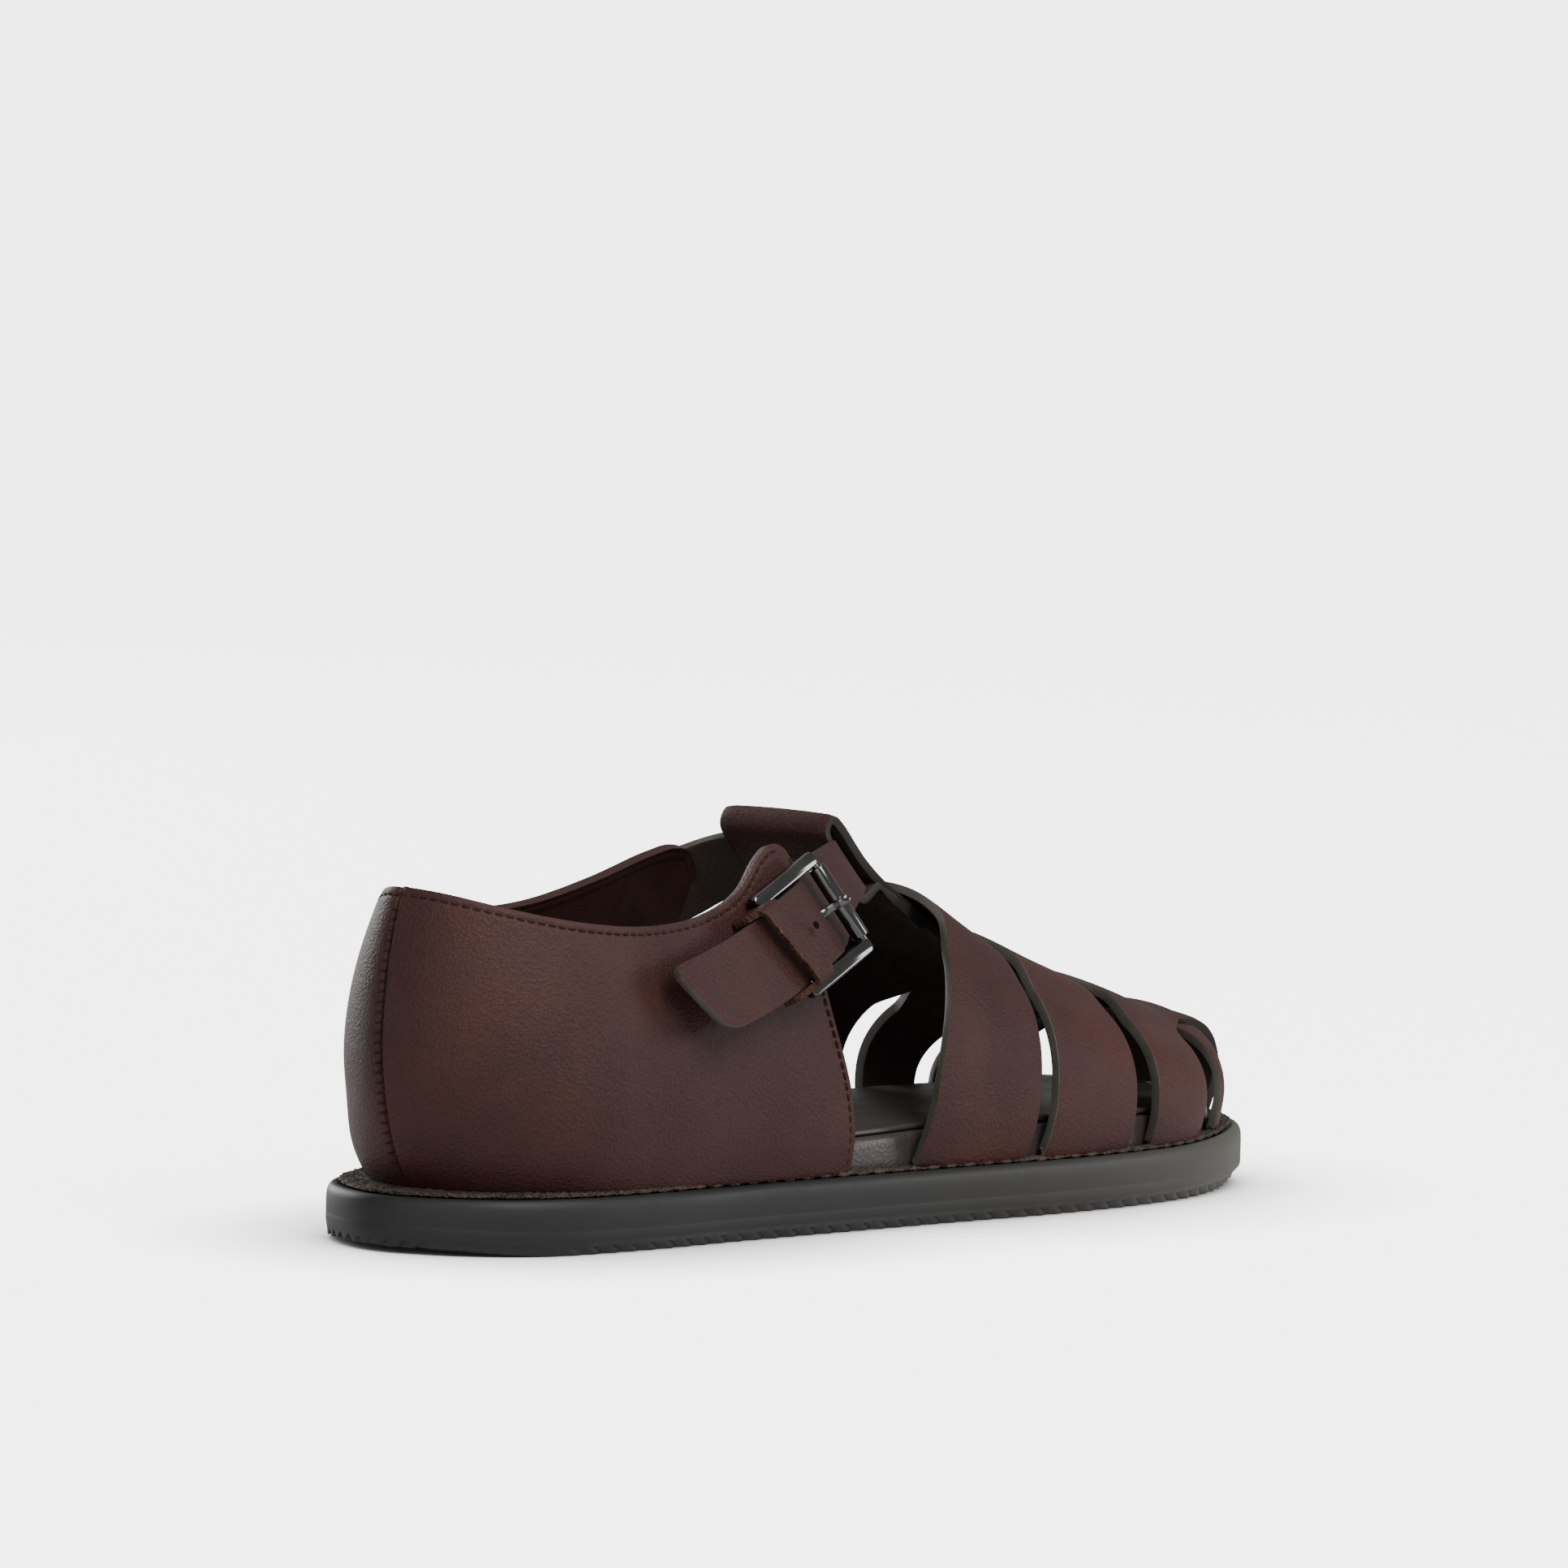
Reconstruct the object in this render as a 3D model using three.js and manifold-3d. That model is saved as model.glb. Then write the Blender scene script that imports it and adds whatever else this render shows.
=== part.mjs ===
// Fisherman sandal for a right foot: flat ripple sole, leather footbed, closed heel quarter,
// a vamp of crossing straps joined over a T-strap, and a buckled ankle strap.
// Millimetres. +X points to the toe, +Y to the inner side of the foot, +Z up from the floor.
import * as THREE from "three";
import { mergeVertices } from "three/addons/utils/BufferGeometryUtils.js";
import Module from "manifold-3d";

const wasm = await Module();
wasm.setup();

// Driving dimensions
const soleLength = 300;
const ballHalfWidth = 50;
const soleTop = 12.4; // floor to the face that carries footbed and welt
const rimTop = 13.2;
const heelHalfWidth = 37.3; // of the quarter, where the heel is fullest
const quarterWall = 2.6;
const strapThickness = 2;
const seatGap = 0.3; // between pieces that meet
const upperBase = 13.7; // lower edge of quarter and straps
const toeX = soleLength / 2;
const heelX = -soleLength / 2;

// Tread
const ridgePitch = 5;
const ridgeDepth = 1.7;
const ridgeGrooveWidth = 3;
const heelLand = { from: -107, to: -82 }; // plain stretch under the heel
const sideFoot = 3; // height of the sole side's undercut foot
const heelUndercut = 0.35; // share of the undercut that is left round the heel
const toeSpring = { from: 84, rise: 1.8 };
const heelLift = { from: -122, rise: 1.6 };

// Buckle, in its own frame: X along the strap, Y across it, Z away from the foot
const buckle = {
  center: new THREE.Vector3(-44.6, -36.85, 71.8),
  along: new THREE.Vector3(0.905, 0.101, 0.404),
  outward: new THREE.Vector3(-0.074, -0.913, 0.391),
  reach: 10.6, // from the middle to the front pin and to the back bar
  width: 28,
  barWidth: 3.6,
  barThickness: 3.2,
  pinRadius: 1,
  backBarRadius: 1.2,
  rollerRadius: 2.1,
  rollerBoreRadius: 1.35,
  rollerLength: 19.6,
  pinHeight: 5.4,
  backBarHeight: 3.2,
};
const ankleStrapHalfWidth = 9.8;
// End of the ankle strap: slant is the share by which its lower edge is shorter, length the whole strap
const ankleStrapTail = { corner: 4, slant: 0.022, slantFrom: 0.7, length: 215 };
const prong = { radius: 1, eyeRadius: 2.5, eyeBoreRadius: 1.5, eyeWidth: 2.4 };
const prongPath = [
  { run: -8.8, height: 3.2 },
  { run: -5, height: 2.8 },
  { run: -1, height: 3.2 },
  { run: 3, height: 5.2 },
  { run: 6.6, height: 7.8 },
  { run: 10.6, height: 8.9 },
  { run: 13.2, height: 8.4 },
];
const prongHole = { run: 4.2, halfLength: 3, halfWidth: 1.5 };
const tab = {
  halfWidth: 8.5,
  thickness: 1.2,
  lowerEnd: -30,
  upperEnd: -23,
  slotHalfWidth: 2.2,
  slotEnd: -14.6,
};
const keeper = { from: -20, to: -12.6, thickness: 1.5, foot: 0.8, clearance: 0.35, corner: 2 };

// Sole outline: share of the length from the heel, and half widths as a share of the ball's
const soleOutline = [
  { at: 0.034, lateral: 0.43, medial: 0.47 },
  { at: 0.1, lateral: 0.69, medial: 0.71 },
  { at: 0.18, lateral: 0.78, medial: 0.77 },
  { at: 0.28, lateral: 0.806, medial: 0.76 },
  { at: 0.4, lateral: 0.858, medial: 0.765 },
  { at: 0.52, lateral: 0.915, medial: 0.83 },
  { at: 0.63, lateral: 0.98, medial: 0.94 },
  { at: 0.73, lateral: 0.99, medial: 1.015 },
  { at: 0.82, lateral: 0.925, medial: 1.0 },
  { at: 0.9, lateral: 0.755, medial: 0.86 },
  { at: 0.96, lateral: 0.485, medial: 0.6 },
];
const toeTipY = 3;

// Distance from the sole's edge in to the foot of the upper
const featherInset = [
  { x: -150, inset: 12.6 },
  { x: -132, inset: 8 },
  { x: -108, inset: 4.8 },
  { x: -60, inset: 3.5 },
  { x: 60, inset: 3.4 },
  { x: 112, inset: 4 },
  { x: 136, inset: 7.2 },
  { x: 150, inset: 11 },
];

// Side of the sole from the floor up: inset from the outline, and height
const soleSide = [
  { inset: 2.2, z: 0 },
  { inset: 1.5, z: 2 },
  { inset: 0.3, z: 3.1 },
  { inset: 0, z: 6.4 },
  { inset: 0.45, z: 6.8 },
  { inset: 0, z: 7.2 },
  { inset: 0.2, z: 11 },
  { inset: 1.1, z: 12.7 },
  { inset: 2.2, z: rimTop },
  { inset: 2.7, z: soleTop },
];

// Top of the footbed along the foot
const footbedTop = [
  { x: -150, z: 23.4 },
  { x: -90, z: 22.8 },
  { x: -28, z: 21.4 },
  { x: 6, z: 22.2 },
  { x: 44, z: 21 },
  { x: 100, z: 20.6 },
  { x: 150, z: 20.6 },
];
const ballDip = { at: 74, reach: 50, depth: 5.6 }; // the inner side lies lower under the ball of the foot
const insoleThickness = 1.3;

// Quarter: outside of the wall at each level, widths as a share of the fullest heel half width
const quarterLevels = [
  { z: 13.7, back: -137.6, lateralHeel: 0.91, medialHeel: 0.94, lateralFront: 1.065, medialFront: 0.94 },
  { z: 22, back: -142.6, lateralHeel: 0.975, medialHeel: 0.962, lateralFront: 1.125, medialFront: 1.01 },
  { z: 32, back: -146, lateralHeel: 1.0, medialHeel: 0.955, lateralFront: 1.14, medialFront: 1.04 },
  { z: 45, back: -148.2, lateralHeel: 0.995, medialHeel: 0.94, lateralFront: 1.11, medialFront: 1.02 },
  { z: 60, back: -147.6, lateralHeel: 0.95, medialHeel: 0.885, lateralFront: 1.035, medialFront: 0.94 },
  { z: 75, back: -144.9, lateralHeel: 0.87, medialHeel: 0.77, lateralFront: 0.93, medialFront: 0.83 },
  { z: 92, back: -139.4, lateralHeel: 0.76, medialHeel: 0.59, lateralFront: 0.79, medialFront: 0.7 },
];
const heelArc = 44;
const heelRoundness = 2.04;
const topline = {
  lateral: [
    { x: -142, z: 83.8 },
    { x: -132, z: 80.4 },
    { x: -114, z: 76.6 },
    { x: -92, z: 75 },
    { x: -74, z: 77 },
    { x: -60, z: 82.2 },
    { x: -51, z: 89.6 },
    { x: -46.5, z: 91.6 },
    { x: -42, z: 89.8 },
    { x: -39.6, z: 86 },
  ],
  medial: [
    { x: -142, z: 83.8 },
    { x: -132, z: 80.4 },
    { x: -114, z: 76.2 },
    { x: -90, z: 74 },
    { x: -66, z: 75 },
    { x: -44, z: 79.6 },
    { x: -26, z: 84.8 },
    { x: -18, z: 86 },
    { x: -12, z: 84 },
    { x: -8.6, z: 79 },
  ],
};
const frontEdge = {
  lateral: [
    { z: 13, x: -27 },
    { z: 32, x: -30 },
    { z: 58, x: -36.5 },
    { z: 86, x: -39.6 },
    { z: 92, x: -39.6 },
  ],
  medial: [
    { z: 13, x: -25 },
    { z: 38, x: -21 },
    { z: 58, x: -12.5 },
    { z: 79, x: -8.6 },
    { z: 92, x: -8.6 },
  ],
};

// T-strap from the toe up to the fold that carries the ankle strap: middle line, half width, crown
const tStrapRows = [
  { step: 0, x: 139.8, y: 0, z: upperBase + toeSpring.rise, half: 14.4, crown: 1.8 },
  { step: 1, x: 141.2, y: 0, z: 24, half: 16.3, crown: 2 },
  { step: 2, x: 140.2, y: 0, z: 30.4, half: 16.7, crown: 2 },
  { step: 3, x: 137.2, y: 0, z: 36.2, half: 16.8, crown: 2 },
  { step: 4, x: 131.5, y: 0, z: 40, half: 16.8, crown: 2 },
  { step: 5, x: 122, y: 0, z: 41.4, half: 16.4, crown: 2.2 },
  { step: 6, x: 113, y: 0, z: 41.9, half: 15.6, crown: 2.4 },
  { step: 7, x: 88, y: 0, z: 48.6, half: 15.2, crown: 2.8 },
  { step: 8, x: 48, y: 0.2, z: 61.2, half: 15.4, crown: 2.8 },
  { step: 9, x: 18, y: 0.5, z: 76.2, half: 15.8, crown: 1.8 },
  { step: 10, x: 5, y: 0.8, z: 83.8, half: 16.2, crown: 0.8 },
  { step: 11, x: -5.5, y: 1, z: 93.6, half: 16.6, crown: 0.4 },
];
// Fold at the top of the T-strap and the flap that comes back down behind the ankle strap;
// the flap faces down, so its crown is negative
const foldRows = [
  { step: 0, x: -4.6, y: 1, z: 92.7, half: 16.6, crown: 0.4 },
  { step: 1, x: -8.4, y: 1, z: 95, half: 16.6, crown: 0.4 },
  { step: 2, x: -10.8, y: 1, z: 92.6, half: 16.6, crown: 0.4 },
  { step: 3, x: -9.8, y: 1, z: 89, half: 16.6, crown: 0.4 },
  { step: 4, x: -2.4, y: 0.8, z: 81, half: 16.2, crown: 0.2 },
  { step: 5, x: 3.6, y: 0.6, z: 74.8, half: 15.8, crown: -0.4 },
  { step: 6, x: 10, y: 0.6, z: 78.6, half: 15.6, crown: -1 },
  { step: 7, x: 15.5, y: 0.5, z: 75.8, half: 15.4, crown: -1.7 },
];

// Lines between the cross straps: where each meets the crest and the sole, how far the section
// draws in from its widest point to the sole, and how square its shoulder is (2 is an ellipse)
const vampLines = [
  { line: 0, crest: 21, base: -5.6, tuck: 4, shoulder: 2.42 },
  { line: 1, crest: 44, base: 34, tuck: 3.6, shoulder: 2.25 },
  { line: 2, crest: 77, base: 72.4, tuck: 2.4, shoulder: 2.3 },
  { line: 3, crest: 117, base: 106, tuck: 1.2, shoulder: 2 },
  { line: 4, crest: 129, base: 122, tuck: 0.3, shoulder: 2 },
];
const crossStraps = [
  { rearBase: 0, rearCrest: 0, frontBase: 0.91, frontCrest: 1, rearLift: 2.8, frontLift: 1.2 },
  { rearBase: 1.07, rearCrest: 0.99, frontBase: 1.87, frontCrest: 2.08, rearLift: 2.8, frontLift: 1.2 },
  { rearBase: 2.13, rearCrest: 2.06, frontBase: 2.8, frontCrest: 3.3, rearLift: 2.4, frontLift: 1.2 },
  { rearBase: 3.28, rearCrest: 2.96, frontBase: 3.92, frontCrest: 3.6, rearLift: -1.7, frontLift: -2.2 },
];
// Shift of each strap's edges along the foot on the inner side
const innerShifts = [
  { rear: 0, front: 0 },
  { rear: 0, front: 0.07 },
  { rear: -0.07, front: -0.12 },
  { rear: -0.43, front: 0 },
];
// Share of the way down where neighbouring straps part, and how soon the gap is full
const gapStart = { lateral: 0.09, medial: 0.32 };
const gapGrowth = { lateral: 0.17, medial: 0.12 };
// Where a cross strap's rise over the T-strap, or its dip under it, fades on the way down
const crossing = { start: 0.26, growth: 0.16 };
const widestShare = 0.27; // height of the widest point of a section
const leanSharpness = 0.93; // below 1 the straps lean forward sooner as they rise
const upperArc = 0.8; // share of a section's run above its widest point

// Ankle strap from its sewn inner end to its tail: upper and lower edge of its middle layer
const ankleStrapRows = [
  { upperX: -30, upperY: 33.8, upperZ: 79, lowerX: -21, lowerY: 39.6, lowerZ: 61.5 },
  { upperX: -11, upperY: 30.6, upperZ: 85.6, lowerX: 0, lowerY: 35, lowerZ: 69 },
  { upperX: -7.2, upperY: 17, upperZ: 90.1, lowerX: 5, lowerY: 17.5, lowerZ: 78.1 },
  { upperX: -7, upperY: 0, upperZ: 90.8, lowerX: 5, lowerY: 0, lowerZ: 79.3 },
  { upperX: -7, upperY: -15.6, upperZ: 90.2, lowerX: 4.4, lowerY: -16, lowerZ: 78.7 },
  { upperX: -15, upperY: -21, upperZ: 90.4, lowerX: -7, lowerY: -26.5, lowerZ: 79 },
  { upperX: -26.5, upperY: -26, upperZ: 88.6, lowerX: -20, lowerY: -34, lowerZ: 75 },
];
const ankleStrapBuckleRuns = [
  { run: 10.6, height: 1.9, shift: 0 },
  { run: 7.5, height: 3.5, shift: 0 },
  { run: 4.5, height: 5.8, shift: 0 },
  { run: 1.5, height: 7, shift: 0 },
  { run: -3, height: 7.3, shift: 0 },
  { run: -11, height: 7.3, shift: 0 },
  { run: -19, height: 7.2, shift: 0 },
  { run: -33, height: 7.2, shift: 1.4 },
  { run: -50, height: 8.4, shift: 4.6 },
];

const materials = {
  leather: new THREE.MeshStandardMaterial({ color: 0x3d2522, roughness: 0.55 }),
  footbedLeather: new THREE.MeshStandardMaterial({ color: 0x3b302e, roughness: 0.45 }),
  insoleLeather: new THREE.MeshStandardMaterial({ color: 0x34312d, roughness: 0.6 }),
  weltLeather: new THREE.MeshStandardMaterial({ color: 0x2a1e19, roughness: 0.85 }),
  rubber: new THREE.MeshStandardMaterial({ color: 0x3a3b3a, roughness: 0.6 }),
  metal: new THREE.MeshStandardMaterial({ color: 0x6b6c6e, roughness: 0.2, metalness: 1 }),
};

const lerp = THREE.MathUtils.lerp;
const clamp = THREE.MathUtils.clamp;
const ease = (t) => THREE.MathUtils.smoothstep(t, 0, 1);
const vec = (x, y, z) => new THREE.Vector3(x, y, z);

// Smooth value of one column of a table, read along another column
function readColumn(rows, along, column, at) {
  const last = rows.length - 1;
  const x = clamp(at, rows[0][along], rows[last][along]);
  let i = 0;
  while (i < last - 1 && x > rows[i + 1][along]) i++;
  const slope = (k) => (rows[k + 1][column] - rows[k][column]) / (rows[k + 1][along] - rows[k][along]);
  const tangent = (k) => (slope(Math.max(0, k - 1)) + slope(Math.min(last - 1, k))) / 2;
  const span = rows[i + 1][along] - rows[i][along];
  const t = (x - rows[i][along]) / span;
  const rise = rows[i + 1][column] - rows[i][column];
  const start = tangent(i) * span;
  const end = tangent(i + 1) * span;
  return rows[i][column] + t * (start + t * (3 * rise - 2 * start - end + t * (start + end - 2 * rise)));
}

// Closed geometry from points and triangles, turned so that its faces point out
function closedGeometry(points, triangles) {
  let volume = 0;
  for (const [a, b, c] of triangles) volume += points[a].dot(points[b].clone().cross(points[c]));
  const index = triangles.flatMap(([a, b, c]) => (volume < 0 ? [a, c, b] : [a, b, c]));
  const geometry = new THREE.BufferGeometry().setFromPoints(points);
  geometry.setIndex(index);
  return geometry;
}

// Solid through a stack of rings; each ring starts at the heel and runs lateral side, toe, medial side
function stackRings(rings) {
  const count = rings[0].length;
  const triangles = [];
  for (let k = 0; k + 1 < rings.length; k++) {
    for (let i = 0; i < count; i++) {
      const a = k * count + i;
      const b = k * count + ((i + 1) % count);
      triangles.push([a, b, b + count], [a, b + count, a + count]);
    }
  }
  const cap = (first, flip) => {
    for (let i = 0; i < count / 2; i++) {
      const quad = [i, i + 1, count - i - 1, (count - i) % count].map((n) => first + n);
      const faces = [[quad[0], quad[1], quad[2]], [quad[0], quad[2], quad[3]]];
      for (const [a, b, c] of faces) {
        if (a !== b && b !== c && a !== c) triangles.push(flip ? [a, c, b] : [a, b, c]);
      }
    }
  };
  cap(0, true);
  cap((rings.length - 1) * count, false);
  return closedGeometry(rings.flat(), triangles);
}

// Solid wall between two matching grids of points
function wallSolid(outside, inside) {
  const rows = outside.length;
  const columns = outside[0].length;
  const size = rows * columns;
  const at = (r, c) => r * columns + c;
  const triangles = [];
  for (let r = 0; r + 1 < rows; r++) {
    for (let c = 0; c + 1 < columns; c++) {
      const [a, b, d, e] = [at(r, c), at(r, c + 1), at(r + 1, c), at(r + 1, c + 1)];
      triangles.push([a, b, e], [a, e, d], [a + size, e + size, b + size], [a + size, d + size, e + size]);
    }
  }
  const edge = [];
  for (let c = 0; c < columns - 1; c++) edge.push(at(0, c));
  for (let r = 0; r < rows - 1; r++) edge.push(at(r, columns - 1));
  for (let c = columns - 1; c > 0; c--) edge.push(at(rows - 1, c));
  for (let r = rows - 1; r > 0; r--) edge.push(at(r, 0));
  edge.forEach((a, i) => {
    const b = edge[(i + 1) % edge.length];
    triangles.push([b, a, a + size], [b, a + size, b + size]);
  });
  return closedGeometry([...outside.flat(), ...inside.flat()], triangles);
}

// Rows of points from a function of a row share and a column share
function grid(rowShares, columnShares, point) {
  return rowShares.map((r) => columnShares.map((c) => point(r, c)));
}
const shares = (steps) => Array.from({ length: steps + 1 }, (_, i) => i / steps);

function toSolid(geometry) {
  const bare = geometry.clone();
  bare.deleteAttribute("normal");
  bare.deleteAttribute("uv");
  const merged = mergeVertices(bare, 1e-4);
  const vertProperties = new Float32Array(merged.attributes.position.array);
  const triVerts = new Uint32Array(merged.index.array);
  return new wasm.Manifold(new wasm.Mesh({ numProp: 3, vertProperties, triVerts }));
}

function toGeometry(solid) {
  const { vertProperties, triVerts } = solid.getMesh();
  const geometry = new THREE.BufferGeometry();
  geometry.setAttribute("position", new THREE.BufferAttribute(new Float32Array(vertProperties), 3));
  geometry.setIndex(new THREE.BufferAttribute(new Uint32Array(triVerts), 1));
  return geometry;
}

const join = (geometries) => toGeometry(geometries.map(toSolid).reduce((all, one) => all.add(one)));
const cut = (geometry, tools) =>
  toGeometry(tools.map(toSolid).reduce((rest, tool) => rest.subtract(tool), toSolid(geometry)));

// Plan outline of the sole as a closed curve from the heel by the lateral side
function outlineCurve() {
  const side = (name, sign) =>
    soleOutline.map((row) => vec(heelX + row.at * soleLength, sign * row[name] * ballHalfWidth, 0));
  const [heelTip, toeTip] = [vec(heelX, 0, 0), vec(toeX, toeTipY, 0)];
  const points = [heelTip, ...side("lateral", -1), toeTip, ...side("medial", 1).reverse()];
  return new THREE.CatmullRomCurve3(points, true, "centripetal");
}
const soleCurve = outlineCurve();
const ringPoints = 84;

// One ring of the outline, drawn in by an inset read along the foot and raised to a height
function ring(insetAt, heightAt) {
  return Array.from({ length: ringPoints }, (_, i) => {
    const t = i / ringPoints;
    const edge = soleCurve.getPoint(t);
    const tangent = soleCurve.getTangent(t);
    const inward = vec(-tangent.y, tangent.x, 0).normalize();
    const inset = insetAt(edge.x);
    const x = edge.x + inward.x * inset;
    const y = edge.y + inward.y * inset;
    return vec(x, y, heightAt(x, y));
  });
}

const featherAt = (x) => readColumn(featherInset, "x", "inset", x);
const footRing = ring(featherAt, () => upperBase);

// Half width of the upper's foot at a place along the sole
function footY(side, x) {
  const half = footRing.length / 2;
  const lateral = footRing.slice(0, half + 1);
  const medial = [...footRing.slice(half), footRing[0]].reverse();
  const points = side === "lateral" ? lateral : medial;
  const next = Math.max(1, points.findIndex((p) => p.x >= x));
  const [a, b] = [points[next - 1], points[next]];
  return lerp(a.y, b.y, (x - a.x) / (b.x - a.x));
}

// Rise of the sole at toe and heel; the heel's rise fades out towards the rim
function springAt(x, z) {
  const toe = ease((x - toeSpring.from) / (toeX - toeSpring.from)) * toeSpring.rise;
  const heel = ease((heelLift.from - x) / (heelLift.from - heelX)) * heelLift.rise;
  return toe + heel * (1 - z / rimTop);
}

function ridgeGroove(x) {
  const shape = new THREE.Shape();
  const reach = 1; // below the floor
  const flare = (ridgeGrooveWidth / 2) * (1 + reach / ridgeDepth);
  shape.moveTo(x - flare, -reach);
  shape.lineTo(x + flare, -reach);
  shape.lineTo(x, ridgeDepth);
  const geometry = new THREE.ExtrudeGeometry(shape, { depth: 4 * ballHalfWidth, bevelEnabled: false });
  geometry.rotateX(Math.PI / 2);
  geometry.translate(0, 2 * ballHalfWidth, springAt(x, 0));
  return geometry;
}

function outsole() {
  const heelToSide = (x) => ease((x - heelLand.from) / (heelLand.to - heelLand.from));
  const undercut = (row) => (x) => row.inset * (row.z < sideFoot ? lerp(heelUndercut, 1, heelToSide(x)) : 1);
  const rings = soleSide.map((row) => ring(undercut(row), (x) => row.z + springAt(x, row.z)));
  const grooves = [];
  for (let x = heelX + ridgePitch; x < toeX; x += ridgePitch) {
    if (x < heelLand.from || x > heelLand.to) grooves.push(ridgeGroove(x));
  }
  return cut(stackRings(rings), grooves);
}

// Flat strip of rough leather between the sole's rim and the foot of the upper
function welt() {
  const height = (level) => (x) => level + springAt(x, rimTop);
  const rim = () => soleSide.at(-1).inset + seatGap;
  const under = (x) => featherAt(x) + 1.4;
  const body = stackRings([ring(rim, height(soleTop + seatGap)), ring(rim, height(upperBase - seatGap))]);
  const hole = stackRings([ring(under, () => 0), ring(under, () => 3 * rimTop)]);
  return cut(body, [hole]);
}

function footbedTopAt(x, y) {
  const near = Math.max(0, 1 - ((x - ballDip.at) / ballDip.reach) ** 2);
  return readColumn(footbedTop, "x", "z", x) - (y > 0 ? ballDip.depth * near : 0);
}

// Leather-wrapped block inside the foot of the upper
function footbed() {
  const inset = (more) => (x) => featherAt(x) + quarterWall + 3 * seatGap + more;
  const bottom = (x) => soleTop + seatGap + springAt(x, rimTop);
  return stackRings([
    ring(inset(0), bottom),
    ring(inset(0), (x, y) => footbedTopAt(x, y) - 1.2),
    ring(inset(0.4), (x, y) => footbedTopAt(x, y) - 0.4),
    ring(inset(1.3), footbedTopAt),
  ]);
}

function insole() {
  const inset = (more) => (x) => featherAt(x) + quarterWall + 3 * seatGap + more;
  const level = (up) => (x, y) => footbedTopAt(x, y) + seatGap + up;
  return stackRings([
    ring(inset(1.3), level(0)),
    ring(inset(1.2), level(insoleThickness - 0.3)),
    ring(inset(1.6), level(insoleThickness)),
  ]);
}

// Point on the outside of the quarter: run is 0 at the back seam and 1 at the front edge
function quarterPoint(side, run, z) {
  const sign = side === "lateral" ? -1 : 1;
  const arcShare = 0.45;
  const back = readColumn(quarterLevels, "z", "back", z);
  const front = readColumn(frontEdge[side], "z", "x", z);
  const x =
    run < arcShare
      ? back + heelArc * (1 - Math.cos((run / arcShare) * (Math.PI / 2)))
      : lerp(back + heelArc, front, (run - arcShare) / (1 - arcShare));
  const heelShare = readColumn(quarterLevels, "z", `${side}Heel`, z);
  const frontShare = readColumn(quarterLevels, "z", `${side}Front`, z);
  const half = heelHalfWidth * lerp(heelShare, frontShare, ease((x - back) / (front - back)));
  const turn = 1 - Math.min(1, (x - back) / heelArc);
  return vec(x, sign * half * (1 - turn ** heelRoundness) ** (1 / heelRoundness), z);
}

// Height of the quarter's top edge at a run
function toplineAt(side, run) {
  let z = topline[side][0].z;
  for (let pass = 0; pass < 6; pass++) {
    z = readColumn(topline[side], "x", "z", quarterPoint(side, run, z).x);
  }
  return z;
}

function quarterInside(side, run, z) {
  const step = 0.004;
  const sign = side === "lateral" ? -1 : 1;
  const along = quarterPoint(side, run + step, z).sub(quarterPoint(side, Math.max(0, run - step), z));
  const up = quarterPoint(side, run, z + 1).sub(quarterPoint(side, run, z - 1));
  const inward = run === 0 ? vec(1, 0, 0) : up.cross(along).normalize().multiplyScalar(-sign);
  return quarterPoint(side, run, z).addScaledVector(inward, quarterWall);
}

function quarter() {
  const runs = [0, 0.05, 0.11, 0.18, 0.26, 0.35, 0.45, 0.55, 0.65, 0.75, 0.84, 0.91, 0.96, 1];
  const stations = [
    ...runs.slice(1).reverse().map((run) => ["lateral", run]),
    ...runs.map((run) => ["medial", run]),
  ];
  const levels = [0, 0.09, 0.2, 0.33, 0.48, 0.64, 0.82, 1];
  const face = (point) =>
    grid(levels, stations, (level, [side, run]) =>
      point(side, run, lerp(upperBase, toplineAt(side, run), level)),
    );
  return wallSolid(face(quarterPoint), face(quarterInside));
}

// Band along a table of middle-line rows in the XZ plane, crowned across its width
function crownedBand(rows, steps, columns) {
  const point = (lift) => (share, across) => {
    const step = share * rows.at(-1).step;
    const read = (column, at) => readColumn(rows, "step", column, at);
    const nudge = 0.02;
    const back = Math.max(0, step - nudge);
    const ahead = Math.min(rows.at(-1).step, step + nudge);
    const at = (place) => vec(read("x", place), 0, read("z", place));
    const tangent = at(ahead).sub(at(back)).normalize();
    const normal = vec(tangent.z, 0, -tangent.x);
    const y = across * 2 - 1;
    const drop = lift - read("crown", step) * y * y;
    const middle = vec(read("x", step), read("y", step) + y * read("half", step), read("z", step));
    return middle.addScaledVector(normal, drop);
  };
  const face = (lift) => grid(shares(steps), shares(columns), point(lift));
  return wallSolid(face(strapThickness / 2), face(-strapThickness / 2));
}

const crestRows = tStrapRows.slice(3).reverse();

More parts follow.
